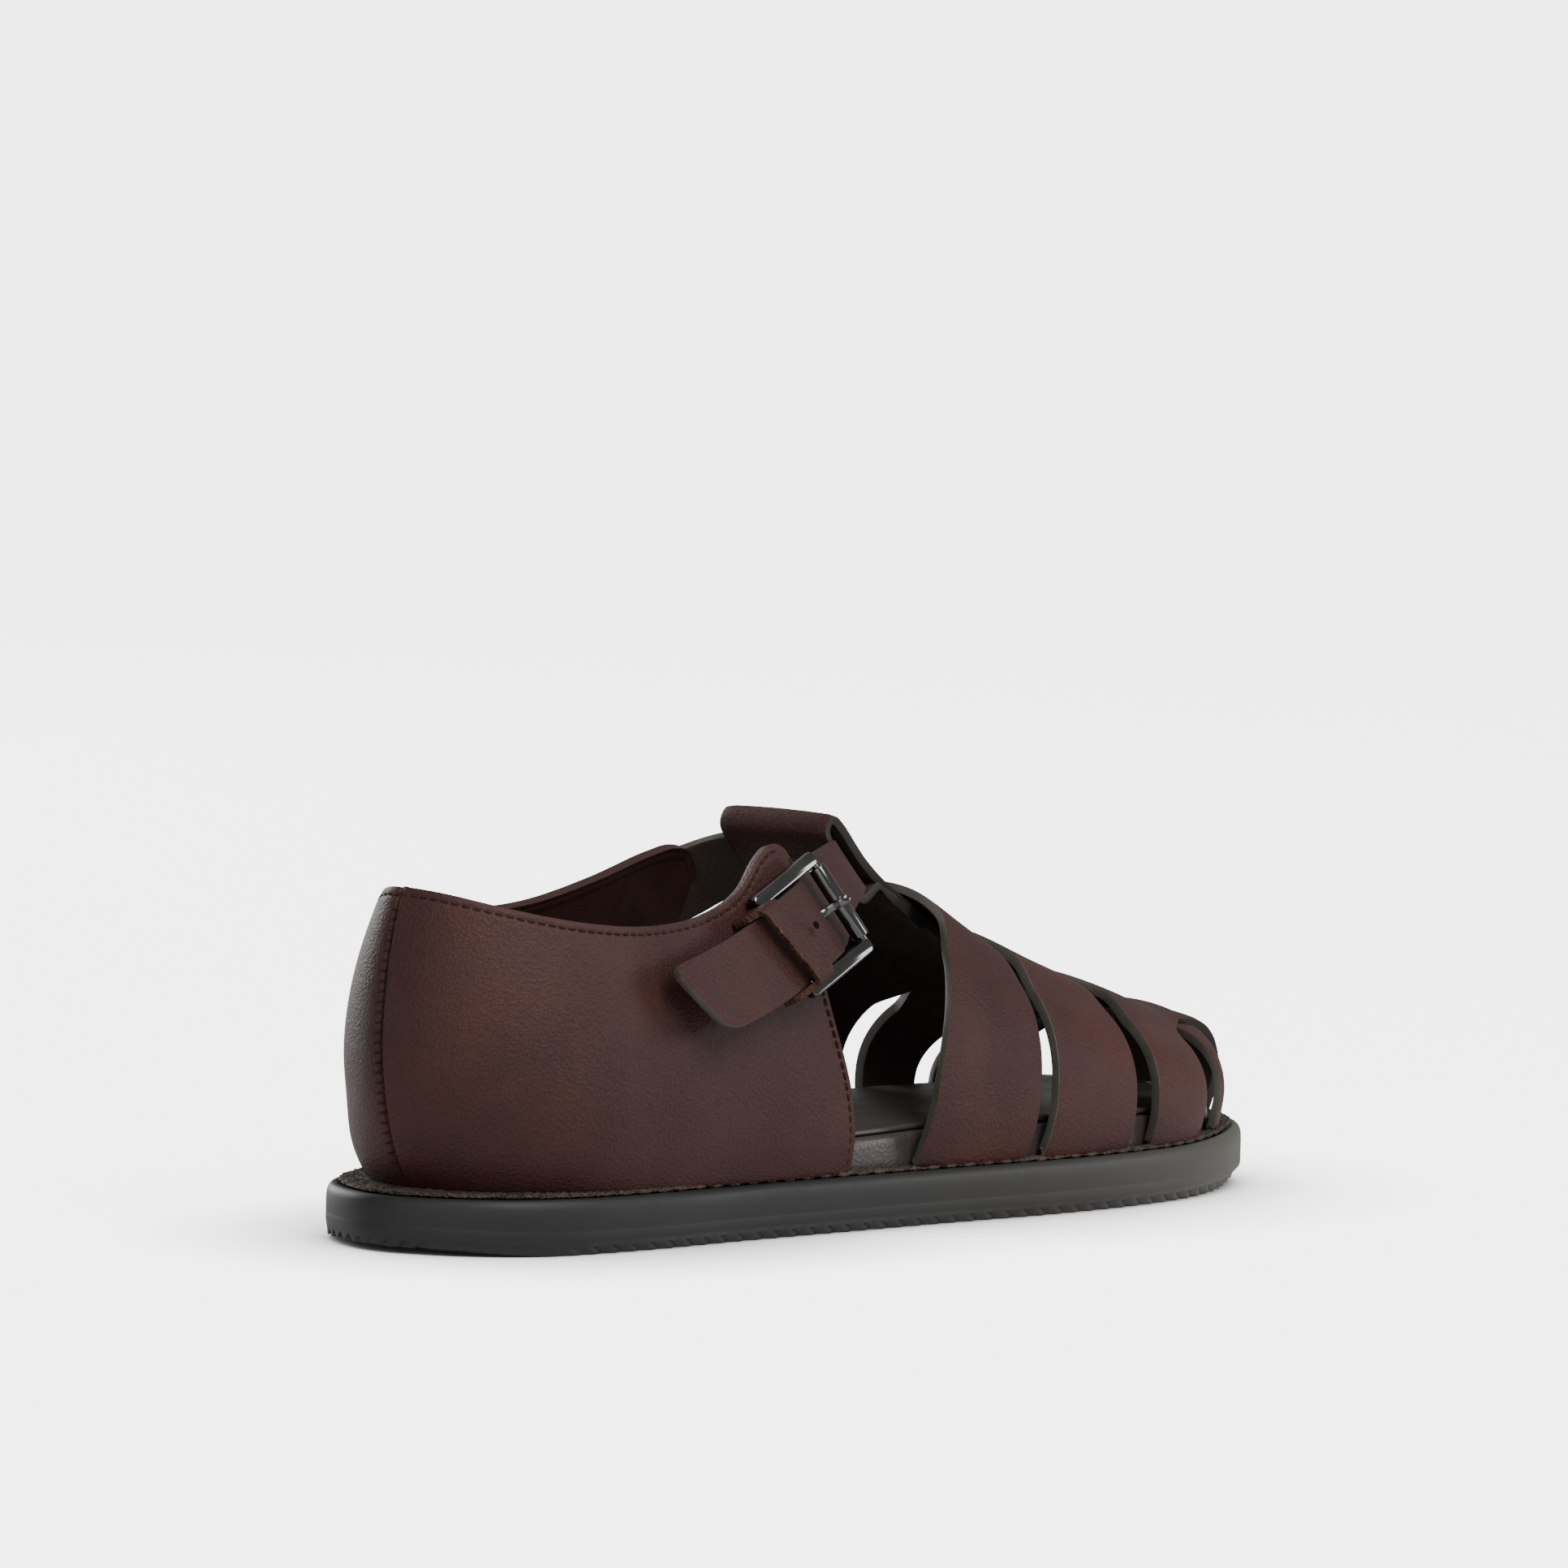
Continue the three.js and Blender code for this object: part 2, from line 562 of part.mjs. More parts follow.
// Point on the form under the straps: line counts the strap lines from the throat to the toe,
// across runs from -1 at the lateral foot over 0 at the crest to 1 at the medial foot
function vampPoint(line, across) {
  const side = across < 0 ? "lateral" : "medial";
  const reach = Math.abs(across);
  const crestX = readColumn(vampLines, "line", "crest", line);
  const baseX = readColumn(vampLines, "line", "base", line);
  const crestZ = readColumn(crestRows, "x", "z", crestX) - strapThickness / 2;
  const baseHalf = Math.abs(footY(side, baseX)) - strapThickness;
  const baseZ = upperBase + springAt(baseX, rimTop);
  const widest = lerp(baseZ, crestZ, widestShare);
  const tuck = readColumn(vampLines, "line", "tuck", line);
  const shoulder = readColumn(vampLines, "line", "shoulder", line);
  const half = baseHalf + tuck;
  const lean = ((1 + Math.cos(Math.PI * reach)) / 2) ** leanSharpness;
  let y = half;
  let z = widest;
  if (reach < upperArc) {
    const angle = ((reach / upperArc) * Math.PI) / 2;
    y = half * Math.sin(angle) ** (2 / shoulder);
    z = widest + (crestZ - widest) * Math.cos(angle) ** (2 / shoulder);
  } else {
    const down = (reach - upperArc) / (1 - upperArc);
    y = half - tuck * down * down;
    z = lerp(widest, baseZ, down);
  }
  return vec(lerp(baseX, crestX, lean), Math.sign(across) * y, z);
}

function vampOffset(line, across, lift) {
  const step = 0.01;
  const inside = clamp(across, -1 + step, 1 - step);
  const along = vampPoint(line + step, inside).sub(vampPoint(line - step, inside));
  const over = vampPoint(line, inside + step).sub(vampPoint(line, inside - step));
  const outward = along.cross(over).normalize();
  const moved = vampPoint(line, across).addScaledVector(outward, lift);
  const floor = upperBase + springAt(moved.x, rimTop);
  return moved.setZ(Math.max(floor, moved.z));
}

function crossStrap(row, index) {
  const point = (top) => (share, acrossShare) => {
    const across = acrossShare * 2 - 1;
    const reach = Math.abs(across);
    const side = across < 0 ? "lateral" : "medial";
    const open = ease((reach - gapStart[side]) / gapGrowth[side]);
    const inner = side === "medial" ? 1 : 0;
    const rear = lerp(row.rearCrest, row.rearBase + inner * innerShifts[index].rear, open);
    const front = lerp(row.frontCrest, row.frontBase + inner * innerShifts[index].front, open);
    const line = lerp(rear, front, share);
    const fade = 1 - ease((reach - crossing.start) / crossing.growth);
    const overTStrap = lerp(row.rearLift, row.frontLift, share) * fade;
    return vampOffset(line, across, overTStrap + (top ? strapThickness : 0));
  };
  const face = (top) => grid(shares(5), shares(28), point(top));
  return wallSolid(face(true), face(false));
}

function vamp() {
  const tStrap = crownedBand(tStrapRows, 20, 6);
  const fold = crownedBand(foldRows, 12, 4);
  return join([tStrap, fold, ...crossStraps.map(crossStrap)]);
}

// Buckle frame directions
const along = buckle.along.clone().normalize();
const across = buckle.outward.clone().cross(along).normalize();
const outward = along.clone().cross(across).normalize();
const buckleMatrix = new THREE.Matrix4().makeBasis(along, across, outward).setPosition(buckle.center);
const onBuckle = (run, side, height) => vec(run, side, height).applyMatrix4(buckleMatrix);

// Upper and lower edge of the ankle strap, from the sewn end through the tunnel and the buckle to the tail
function ankleStrapEdges() {
  const overFoot = ankleStrapRows.map((row) => ({
    upper: vec(row.upperX, row.upperY, row.upperZ),
    lower: vec(row.lowerX, row.lowerY, row.lowerZ),
  }));
  const atBuckle = ankleStrapBuckleRuns.map(({ run, height, shift }) => ({
    upper: onBuckle(run, shift + ankleStrapHalfWidth, height),
    lower: onBuckle(run, shift - ankleStrapHalfWidth, height),
  }));
  const rows = [...overFoot, ...atBuckle];
  const curve = (edge) => new THREE.CatmullRomCurve3(rows.map((row) => row[edge]), false, "centripetal");
  return { upper: curve("upper"), lower: curve("lower"), spans: rows.length - 1 };
}

function ankleStrap() {
  const { upper, lower, spans } = ankleStrapEdges();
  const { corner, slant, slantFrom, length } = ankleStrapTail;
  const point = (lift) => (end, acrossShare) => {
    const share = end * (1 - slant * (1 - acrossShare) * ease((end - slantFrom) / (1 - slantFrom)));
    const nudge = 0.002;
    const middle = (t) => upper.getPoint(t).lerp(lower.getPoint(t), 0.5);
    const tangent = middle(Math.min(1, share + nudge)).sub(middle(Math.max(0, share - nudge)));
    const width = upper.getPoint(share).sub(lower.getPoint(share));
    const normal = tangent.cross(width).normalize();
    const intoCorner = Math.max(0, corner - (1 - end) * length);
    const loss = (corner - Math.sqrt(corner ** 2 - intoCorner ** 2)) / (2 * ankleStrapHalfWidth);
    const side = lerp(loss, 1 - loss, acrossShare);
    return lower.getPoint(share).lerp(upper.getPoint(share), side).addScaledVector(normal, lift);
  };
  const tailShares = [0.975, 0.983, 0.99, 0.995, 1];
  const body = shares(spans * 3).filter((share) => share < tailShares[0]);
  const face = (lift) => grid([...body, ...tailShares], shares(2), point(lift));
  const band = wallSolid(face(strapThickness / 2), face(-strapThickness / 2));
  const hole = new THREE.BoxGeometry(2 * prongHole.halfLength, 2 * prongHole.halfWidth, 4 * strapThickness);
  hole.translate(prongHole.run, 0, strapThickness * 2).applyMatrix4(buckleMatrix);
  return cut(band, [hole]);
}

// Bar across the buckle, as a solid or hollow cylinder
function crossBar(run, height, radius, length, boreRadius) {
  const segments = 16;
  const half = length / 2;
  const profile = boreRadius
    ? [[boreRadius, -half], [radius, -half], [radius, half], [boreRadius, half], [boreRadius, -half]]
    : [[0, -half], [radius, -half], [radius, half], [0, half]];
  const points = profile.map(([r, y]) => new THREE.Vector2(r, y));
  return new THREE.LatheGeometry(points, segments).translate(run, 0, height);
}

function buckleFrame() {
  const slope = (buckle.pinHeight - buckle.backBarHeight) / (2 * buckle.reach);
  const radius = buckle.barThickness / 2;
  const sideBar = (side) => {
    const shape = new THREE.Shape();
    shape.absarc(buckle.reach, 0, radius, -Math.PI / 2, Math.PI / 2);
    shape.absarc(-buckle.reach, 0, radius, Math.PI / 2, (3 * Math.PI) / 2);
    const options = { depth: buckle.barWidth, bevelEnabled: false, curveSegments: 8 };
    const bar = new THREE.ExtrudeGeometry(shape, options);
    bar.rotateX(Math.PI / 2).translate(0, buckle.barWidth / 2, 0).rotateY(-Math.atan(slope));
    const middle = (buckle.pinHeight + buckle.backBarHeight) / 2;
    return bar.translate(0, (side * (buckle.width - buckle.barWidth)) / 2, middle);
  };
  const length = buckle.width - buckle.barWidth;
  const pin = crossBar(buckle.reach, buckle.pinHeight, buckle.pinRadius, length);
  const back = crossBar(-buckle.reach, buckle.backBarHeight, buckle.backBarRadius, length);
  return join([sideBar(1), sideBar(-1), pin, back]).applyMatrix4(buckleMatrix);
}

function buckleRoller() {
  const { reach, pinHeight, rollerRadius, rollerLength, rollerBoreRadius } = buckle;
  return crossBar(reach, pinHeight, rollerRadius, rollerLength, rollerBoreRadius).applyMatrix4(buckleMatrix);
}

function buckleProng() {
  const shape = new THREE.Shape();
  shape.absarc(0, 0, prong.radius, 0, 2 * Math.PI);
  const extrudePath = new THREE.CatmullRomCurve3(prongPath.map(({ run, height }) => vec(run, 0, height)));
  const options = { extrudePath, steps: 18, curveSegments: 5, bevelEnabled: false };
  const arm = new THREE.ExtrudeGeometry(shape, options);
  const { eyeRadius, eyeWidth, eyeBoreRadius } = prong;
  const eye = crossBar(-buckle.reach, buckle.backBarHeight, eyeRadius, eyeWidth, eyeBoreRadius);
  return join([arm, eye]).applyMatrix4(buckleMatrix);
}

// Leather tab folded round the back bar and sewn to the quarter
function buckleTab() {
  const inner = buckle.backBarRadius + seatGap;
  const outer = inner + tab.thickness;
  const middle = buckle.backBarHeight;
  const shape = new THREE.Shape();
  shape.moveTo(tab.lowerEnd, middle - outer);
  shape.lineTo(-buckle.reach, middle - outer);
  shape.absarc(-buckle.reach, middle, outer, -Math.PI / 2, Math.PI / 2);
  shape.lineTo(tab.upperEnd, middle + outer);
  shape.lineTo(tab.upperEnd, middle + inner);
  shape.lineTo(-buckle.reach, middle + inner);
  shape.absarc(-buckle.reach, middle, inner, Math.PI / 2, -Math.PI / 2, true);
  shape.lineTo(tab.lowerEnd, middle - inner);
  const depth = 2 * tab.halfWidth;
  const strip = new THREE.ExtrudeGeometry(shape, { depth, bevelEnabled: false, curveSegments: 8 });
  strip.rotateX(Math.PI / 2).translate(0, tab.halfWidth, 0);
  const slot = new THREE.BoxGeometry(-2 * tab.slotEnd, 2 * tab.slotHalfWidth, 4 * outer);
  slot.translate(0, 0, middle);
  return cut(strip, [slot]).applyMatrix4(buckleMatrix);
}

// Leather loop over the tail of the ankle strap
function keeperLoop() {
  const top = ankleStrapBuckleRuns.find(({ run }) => run < keeper.to).height + strapThickness / 2;
  const innerHalf = ankleStrapHalfWidth + keeper.clearance;
  const innerTop = top + keeper.clearance;
  const outerHalf = innerHalf + keeper.thickness;
  const outerTop = innerTop + keeper.thickness;
  const { corner } = keeper;
  const shape = new THREE.Shape();
  shape.moveTo(-outerHalf, keeper.foot);
  shape.lineTo(-outerHalf, outerTop - corner);
  shape.quadraticCurveTo(-outerHalf, outerTop, -outerHalf + corner, outerTop);
  shape.lineTo(outerHalf - corner, outerTop);
  shape.quadraticCurveTo(outerHalf, outerTop, outerHalf, outerTop - corner);
  shape.lineTo(outerHalf, keeper.foot);
  shape.lineTo(innerHalf, keeper.foot);
  shape.lineTo(innerHalf, innerTop);
  shape.lineTo(-innerHalf, innerTop);
  shape.lineTo(-innerHalf, keeper.foot);
  const depth = keeper.to - keeper.from;
  const loop = new THREE.ExtrudeGeometry(shape, { depth, bevelEnabled: false, curveSegments: 5 });
  const turn = new THREE.Matrix4().makeBasis(vec(0, 1, 0), vec(0, 0, 1), vec(1, 0, 0));
  turn.setPosition(keeper.from, 0, 0);
  return loop.applyMatrix4(turn).applyMatrix4(buckleMatrix);
}

const pieces = [
  ["outsole", outsole, "rubber"],
  ["welt", welt, "weltLeather"],
  ["footbed", footbed, "footbedLeather"],
  ["insole", insole, "insoleLeather"],
  ["upper_quarter", quarter, "leather"],
  ["upper_vamp", vamp, "leather"],
  ["ankle_strap", ankleStrap, "leather"],
  ["keeper_loop", keeperLoop, "leather"],
  ["buckle_tab", buckleTab, "leather"],
  ["buckle_frame", buckleFrame, "metal"],
  ["buckle_roller", buckleRoller, "metal"],
  ["buckle_prong", buckleProng, "metal"],
];

const sandal = new THREE.Group();
for (const [name, make, material] of pieces) {
  const mesh = new THREE.Mesh(make(), materials[material]);
  mesh.name = name;
  sandal.add(mesh);
}

export default sandal;
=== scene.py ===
import bpy, bmesh, math
from mathutils import Matrix, Vector, noise


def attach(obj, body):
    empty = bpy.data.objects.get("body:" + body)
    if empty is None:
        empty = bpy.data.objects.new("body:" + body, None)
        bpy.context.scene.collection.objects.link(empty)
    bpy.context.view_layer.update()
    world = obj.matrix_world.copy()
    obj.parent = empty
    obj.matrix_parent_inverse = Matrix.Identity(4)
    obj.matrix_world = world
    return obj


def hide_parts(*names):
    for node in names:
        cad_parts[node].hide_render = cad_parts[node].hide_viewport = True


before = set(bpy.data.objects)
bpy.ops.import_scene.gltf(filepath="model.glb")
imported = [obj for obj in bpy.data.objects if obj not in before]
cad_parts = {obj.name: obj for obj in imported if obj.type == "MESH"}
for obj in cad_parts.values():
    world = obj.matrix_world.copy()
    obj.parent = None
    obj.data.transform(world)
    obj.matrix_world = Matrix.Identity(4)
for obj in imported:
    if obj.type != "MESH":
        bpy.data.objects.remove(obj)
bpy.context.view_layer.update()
mm = 0.001
print("frame loaded")

# small helpers


def ease(t):
    t = max(0.0, min(1.0, t))
    return t * t * (3 - 2 * t)


def lerp(a, b, t):
    return a + (b - a) * t


def readRow(xs, ys, at):  # smooth value of a table at a place along it
    last = len(xs) - 1
    x = max(xs[0], min(xs[last], at))
    i = 0
    while i < last - 1 and x > xs[i + 1]:
        i += 1
    slope = [(ys[k + 1] - ys[k]) / (xs[k + 1] - xs[k]) for k in range(max(0, i - 1), min(last, i + 2))]
    here = i - max(0, i - 1)
    start = (slope[max(0, here - 1)] + slope[here]) / 2
    end = (slope[here] + slope[min(len(slope) - 1, here + 1)]) / 2
    span = xs[i + 1] - xs[i]
    t = (x - xs[i]) / span
    rise = ys[i + 1] - ys[i]
    start, end = start * span, end * span
    return ys[i] + t * (start + t * (3 * rise - 2 * start - end + t * (start + end - 2 * rise)))


# grid whose corners are placed by a function, in mm
def sheet(name, columns, rows, place, closed=False, flip=False):
    bm = bmesh.new()
    bmesh.ops.create_grid(bm, x_segments=columns, y_segments=rows, size=0.5)
    for v in bm.verts:
        v.co = place(v.co.x + 0.5, v.co.y + 0.5) * mm
    if closed:
        bmesh.ops.remove_doubles(bm, verts=bm.verts, dist=2e-6)
        bmesh.ops.recalc_face_normals(bm, faces=bm.faces)
    if flip:
        bmesh.ops.reverse_faces(bm, faces=bm.faces)
    return keep(bm, name)


def keep(bm, name):
    mesh = bpy.data.meshes.new(name)
    bm.to_mesh(mesh)
    bm.free()
    for p in mesh.polygons:
        p.use_smooth = True
    obj = bpy.data.objects.new(name, mesh)
    bpy.context.scene.collection.objects.link(obj)
    return obj


def thicken(obj, thickness, softness, inner=0, rim=0):  # wall inwards from the sheet, with soft edges
    wall = obj.modifiers.new("wall", "SOLIDIFY")
    wall.thickness = thickness * mm
    wall.offset = -1
    wall.use_even_offset = True
    wall.material_offset = inner
    wall.material_offset_rim = rim
    soft = obj.modifiers.new("softEdge", "BEVEL")
    soft.width = softness * mm
    soft.segments = 3
    soft.limit_method = "ANGLE"
    soft.angle_limit = math.radians(50)
    soft.harden_normals = False
    return obj


def dress(obj, slot, *materials):
    for m in materials:
        obj.data.materials.append(m)
    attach(obj, "root")
    return obj


# materials


def nodeGroup(name, inputs, outputs):
    tree = bpy.data.node_groups.new(name, "ShaderNodeTree")
    for label, kind, value in inputs:
        s = tree.interface.new_socket(label, in_out="INPUT", socket_type=kind)
        if value is not None:
            s.default_value = value
    for label, kind in outputs:
        tree.interface.new_socket(label, in_out="OUTPUT", socket_type=kind)
    return tree, tree.nodes.new("NodeGroupInput"), tree.nodes.new("NodeGroupOutput")


def addNode(tree, kind, **values):
    n = tree.nodes.new(kind)
    for k, v in values.items():
        if k in n.inputs:
            n.inputs[k].default_value = v
        else:
            setattr(n, k, v)
    return n


def mathNode(tree, operation, value=None):
    n = addNode(tree, "ShaderNodeMath", operation=operation)
    if value is not None:
        n.inputs[1].default_value = value
    return n


def rangeNode(tree, interpolation="LINEAR", **ends):  # ends are named as fromMin, fromMax, toMin, toMax
    n = addNode(tree, "ShaderNodeMapRange", interpolation_type=interpolation)
    for end, value in ends.items():
        n.inputs[end[:-3].title() + " " + end[-3:]].default_value = value
    return n


def makeGrainGroup():  # pebbled leather grain: cells, creases and pores
    tree, gin, gout = nodeGroup(
        "leatherGrain",
        [
            ("Vector", "NodeSocketVector", None),
            ("Scale", "NodeSocketFloat", 900.0),
            ("Crease", "NodeSocketFloat", 0.4),
        ],
        [("Height", "NodeSocketFloat"), ("Pores", "NodeSocketFloat")],
    )
    cells = addNode(tree, "ShaderNodeTexVoronoi", feature="F1", Randomness=0.9)
    fine = addNode(tree, "ShaderNodeTexNoise", Detail=4.0, Roughness=0.65)
    broad = addNode(tree, "ShaderNodeTexNoise", Detail=3.0, Roughness=0.6)
    coarser = mathNode(tree, "MULTIPLY", 0.12)
    finer = mathNode(tree, "MULTIPLY", 2.3)
    crease = mathNode(tree, "MULTIPLY")
    mixFine = mathNode(tree, "MULTIPLY_ADD", 0.55)
    total = mathNode(tree, "ADD")
    link = tree.links.new
    for tex, scaler in ((cells, None), (fine, finer), (broad, coarser)):
        link(gin.outputs["Vector"], tex.inputs["Vector"])
        if scaler:
            link(gin.outputs["Scale"], scaler.inputs[0])
            link(scaler.outputs[0], tex.inputs["Scale"])
        else:
            link(gin.outputs["Scale"], tex.inputs["Scale"])
    link(fine.outputs["Fac"], mixFine.inputs[0])
    link(cells.outputs["Distance"], mixFine.inputs[2])
    link(broad.outputs["Fac"], crease.inputs[0])
    link(gin.outputs["Crease"], crease.inputs[1])
    link(mixFine.outputs[0], total.inputs[0])
    link(crease.outputs[0], total.inputs[1])
    link(total.outputs[0], gout.inputs["Height"])
    link(cells.outputs["Distance"], gout.inputs["Pores"])
    return tree


def makeDriftGroup():  # slow colour changes of waxed leather: three tones by two noises
    tree, gin, gout = nodeGroup(
        "toneDrift",
        [
            ("Vector", "NodeSocketVector", None),
            ("Scale", "NodeSocketFloat", 16.0),
            ("Dark", "NodeSocketColor", (0.05, 0.03, 0.025, 1)),
            ("Warm", "NodeSocketColor", (0.12, 0.05, 0.035, 1)),
            ("Smoky", "NodeSocketColor", (0.1, 0.065, 0.06, 1)),
        ],
        [("Color", "NodeSocketColor"), ("Tone", "NodeSocketFloat")],
    )
    slow = addNode(tree, "ShaderNodeTexNoise", Detail=5.0, Roughness=0.62, Distortion=0.4)
    other = addNode(tree, "ShaderNodeTexNoise", noise_dimensions="4D", W=7.3,
                    Detail=5.0, Roughness=0.6, Distortion=0.3)
    rampA = rangeNode(tree, "SMOOTHSTEP", fromMin=0.42, fromMax=0.72)
    rampB = rangeNode(tree, "SMOOTHSTEP", fromMin=0.4, fromMax=0.7)
    warm = addNode(tree, "ShaderNodeMix", data_type="RGBA")
    smoky = addNode(tree, "ShaderNodeMix", data_type="RGBA")
    link = tree.links.new
    for tex in (slow, other):
        link(gin.outputs["Vector"], tex.inputs["Vector"])
        link(gin.outputs["Scale"], tex.inputs["Scale"])
    link(slow.outputs["Fac"], rampA.inputs["Value"])
    link(other.outputs["Fac"], rampB.inputs["Value"])
    link(rampA.outputs["Result"], warm.inputs["Factor"])
    link(gin.outputs["Dark"], warm.inputs["A"])
    link(gin.outputs["Warm"], warm.inputs["B"])
    link(rampB.outputs["Result"], smoky.inputs["Factor"])
    link(warm.outputs["Result"], smoky.inputs["A"])
    link(gin.outputs["Smoky"], smoky.inputs["B"])
    link(smoky.outputs["Result"], gout.inputs["Color"])
    link(rampB.outputs["Result"], gout.inputs["Tone"])
    return tree


grainGroup = makeGrainGroup()
driftGroup = makeDriftGroup()


def finish(name, look):  # one principled finish with drifting tone and grain
    mat = bpy.data.materials.new(name)
    mat.use_nodes = True
    tree = mat.node_tree
    shader = tree.nodes["Principled BSDF"]
    coord = tree.nodes.new("ShaderNodeTexCoord")
    drift = addNode(tree, "ShaderNodeGroup", node_tree=driftGroup)
    grain = addNode(tree, "ShaderNodeGroup", node_tree=grainGroup)
    for label in ("Dark", "Warm", "Smoky"):
        drift.inputs[label].default_value = (*look[label.lower()], 1)
    drift.inputs["Scale"].default_value = look["driftScale"]
    grain.inputs["Scale"].default_value = look["grainScale"]
    grain.inputs["Crease"].default_value = look.get("crease", 0.4)
    link = tree.links.new
    link(coord.outputs["Object"], drift.inputs["Vector"])
    link(coord.outputs["Object"], grain.inputs["Vector"])
    pores = addNode(tree, "ShaderNodeMix", data_type="RGBA", blend_type="MULTIPLY")
    pores.inputs["Factor"].default_value = look.get("poreTint", 0.25)
    link(drift.outputs["Color"], pores.inputs["A"])
    shade = rangeNode(tree, fromMax=0.8, toMin=1.15, toMax=0.55)
    link(grain.outputs["Pores"], shade.inputs["Value"])
    link(shade.outputs["Result"], pores.inputs["B"])
    colour = pores.outputs["Result"]
    if "dustAndPaintedLight" in look:  # paler towards the toe: partly dust, partly painted light falling on the toe end
        where = addNode(tree, "ShaderNodeSeparateXYZ")
        fade = rangeNode(tree, fromMin=look["dustAndLightRun"][0], fromMax=look["dustAndLightRun"][1])
        rise = mathNode(tree, "POWER", look["dustAndLightPower"])
        dustyAndLit = addNode(tree, "ShaderNodeMix", data_type="RGBA")
        dustyAndLit.inputs["B"].default_value = (*look["dustAndPaintedLight"], 1)
        link(coord.outputs["Object"], where.inputs["Vector"])
        link(where.outputs["X"], fade.inputs["Value"])
        link(fade.outputs["Result"], rise.inputs[0])
        link(rise.outputs["Value"], dustyAndLit.inputs["Factor"])
        link(colour, dustyAndLit.inputs["A"])
        colour = dustyAndLit.outputs["Result"]
    link(colour, shader.inputs["Base Color"])
    rough = rangeNode(tree, toMin=look["rough"][0], toMax=look["rough"][1])
    link(drift.outputs["Tone"], rough.inputs["Value"])
    link(rough.outputs["Result"], shader.inputs["Roughness"])
    bump = addNode(tree, "ShaderNodeBump", Strength=look["bump"], Distance=look["depth"] * mm)
    link(grain.outputs["Height"], bump.inputs["Height"])
    link(bump.outputs["Normal"], shader.inputs["Normal"])
    shader.inputs["Specular IOR Level"].default_value = look.get("specular", 0.5)
    shader.inputs["Metallic"].default_value = look.get("metal", 0.0)
    return mat


upperLeather = finish("upperLeather", {
    "dark": (0.038, 0.0130, 0.0108), "warm": (0.074, 0.0218, 0.0158), "smoky": (0.056, 0.0245, 0.0215),
    "driftScale": 15, "grainScale": 1350, "crease": 0.4, "rough": (0.5, 0.62), "bump": 0.75, "depth": 0.22,
    "poreTint": 0.5, "specular": 0.24,
})
liningSuede = finish("liningSuede", {
    "dark": (0.021, 0.0098, 0.0078), "warm": (0.034, 0.0150, 0.0110), "smoky": (0.036, 0.0195, 0.0165),
    "driftScale": 40, "grainScale": 2600, "crease": 0.2, "rough": (0.8, 0.95), "bump": 0.5, "depth": 0.2,
    "specular": 0.06,
})
strapUnderside = finish("strapUnderside", {
    "dark": (0.046, 0.033, 0.027), "warm": (0.066, 0.041, 0.031), "smoky": (0.074, 0.055, 0.046),
    "driftScale": 30, "grainScale": 1800, "rough": (0.7, 0.85), "bump": 0.4, "depth": 0.2, "specular": 0.3,
})
edgePaint = finish("edgePaint", {
    "dark": (0.056, 0.050, 0.042), "warm": (0.070, 0.060, 0.049), "smoky": (0.088, 0.080, 0.069),
    "driftScale": 60, "grainScale": 2200, "rough": (0.3, 0.42), "bump": 0.15, "depth": 0.1, "specular": 0.6,
})
# darker copy of the edge paint, used on the middle strap's rim: painted shade
edgePaintShaded = finish("edgePaintShaded", {
    "dark": (0.018, 0.0150, 0.0120), "warm": (0.024, 0.0190, 0.0150), "smoky": (0.030, 0.0260, 0.0220),
    "driftScale": 60, "grainScale": 2200, "rough": (0.5, 0.62), "bump": 0.15, "depth": 0.1,
    "specular": 0.25,
})
footbedLeather = finish("footbedLeather", {
    "dark": (0.046, 0.035, 0.034), "warm": (0.053, 0.040, 0.039), "smoky": (0.062, 0.050, 0.049),
    "driftScale": 25, "grainScale": 1050, "crease": 0.3, "rough": (0.34, 0.46), "bump": 0.5, "depth": 0.2,
    "specular": 0.5,
})
insoleLeather = finish("insoleLeather", {
    "dark": (0.045, 0.041, 0.034), "warm": (0.053, 0.047, 0.038), "smoky": (0.060, 0.055, 0.046),
    "driftScale": 20, "grainScale": 1800, "rough": (0.38, 0.5), "bump": 0.15, "depth": 0.1, "specular": 0.5,
})
rawWelt = finish("rawWelt", {
    "dark": (0.026, 0.017, 0.012), "warm": (0.082, 0.044, 0.025), "smoky": (0.050, 0.034, 0.025),
    "driftScale": 180, "grainScale": 1400, "crease": 0.9, "rough": (0.45, 0.8), "bump": 0.9, "depth": 0.6,
})
rawEdge = finish("rawEdge", {
    "dark": (0.062, 0.028, 0.016), "warm": (0.150, 0.074, 0.046), "smoky": (0.100, 0.054, 0.037),
    "driftScale": 260, "grainScale": 1600, "crease": 0.9, "rough": (0.8, 0.95), "bump": 1.0, "depth": 0.5,
    "specular": 0.1,
})
# the rubber is painted paler towards the toe and stays darker at the heel: partly dust, partly painted light
# on the toe end
soleRubber = finish("soleRubber", {
    "dark": (0.0078, 0.0080, 0.0077), "warm": (0.0094, 0.0094, 0.0088), "smoky": (0.0108, 0.0109, 0.0104),
    "driftScale": 22, "grainScale": 3000, "crease": 0.3, "rough": (0.5, 0.62), "bump": 0.1, "depth": 0.1,
    "poreTint": 0.1, "specular": 0.4, "dustAndPaintedLight": (0.112, 0.107, 0.090), "dustAndLightRun": (-0.120, 0.150),
    "dustAndLightPower": 3.8,
})
gunmetal = finish("gunmetal", {
    "dark": (0.105, 0.104, 0.103), "warm": (0.125, 0.122, 0.120), "smoky": (0.140, 0.139, 0.138),
    "driftScale": 60, "grainScale": 2500, "crease": 0.2, "rough": (0.1, 0.16), "bump": 0.02, "depth": 0.03,
    "poreTint": 0.05, "metal": 1.0,
})
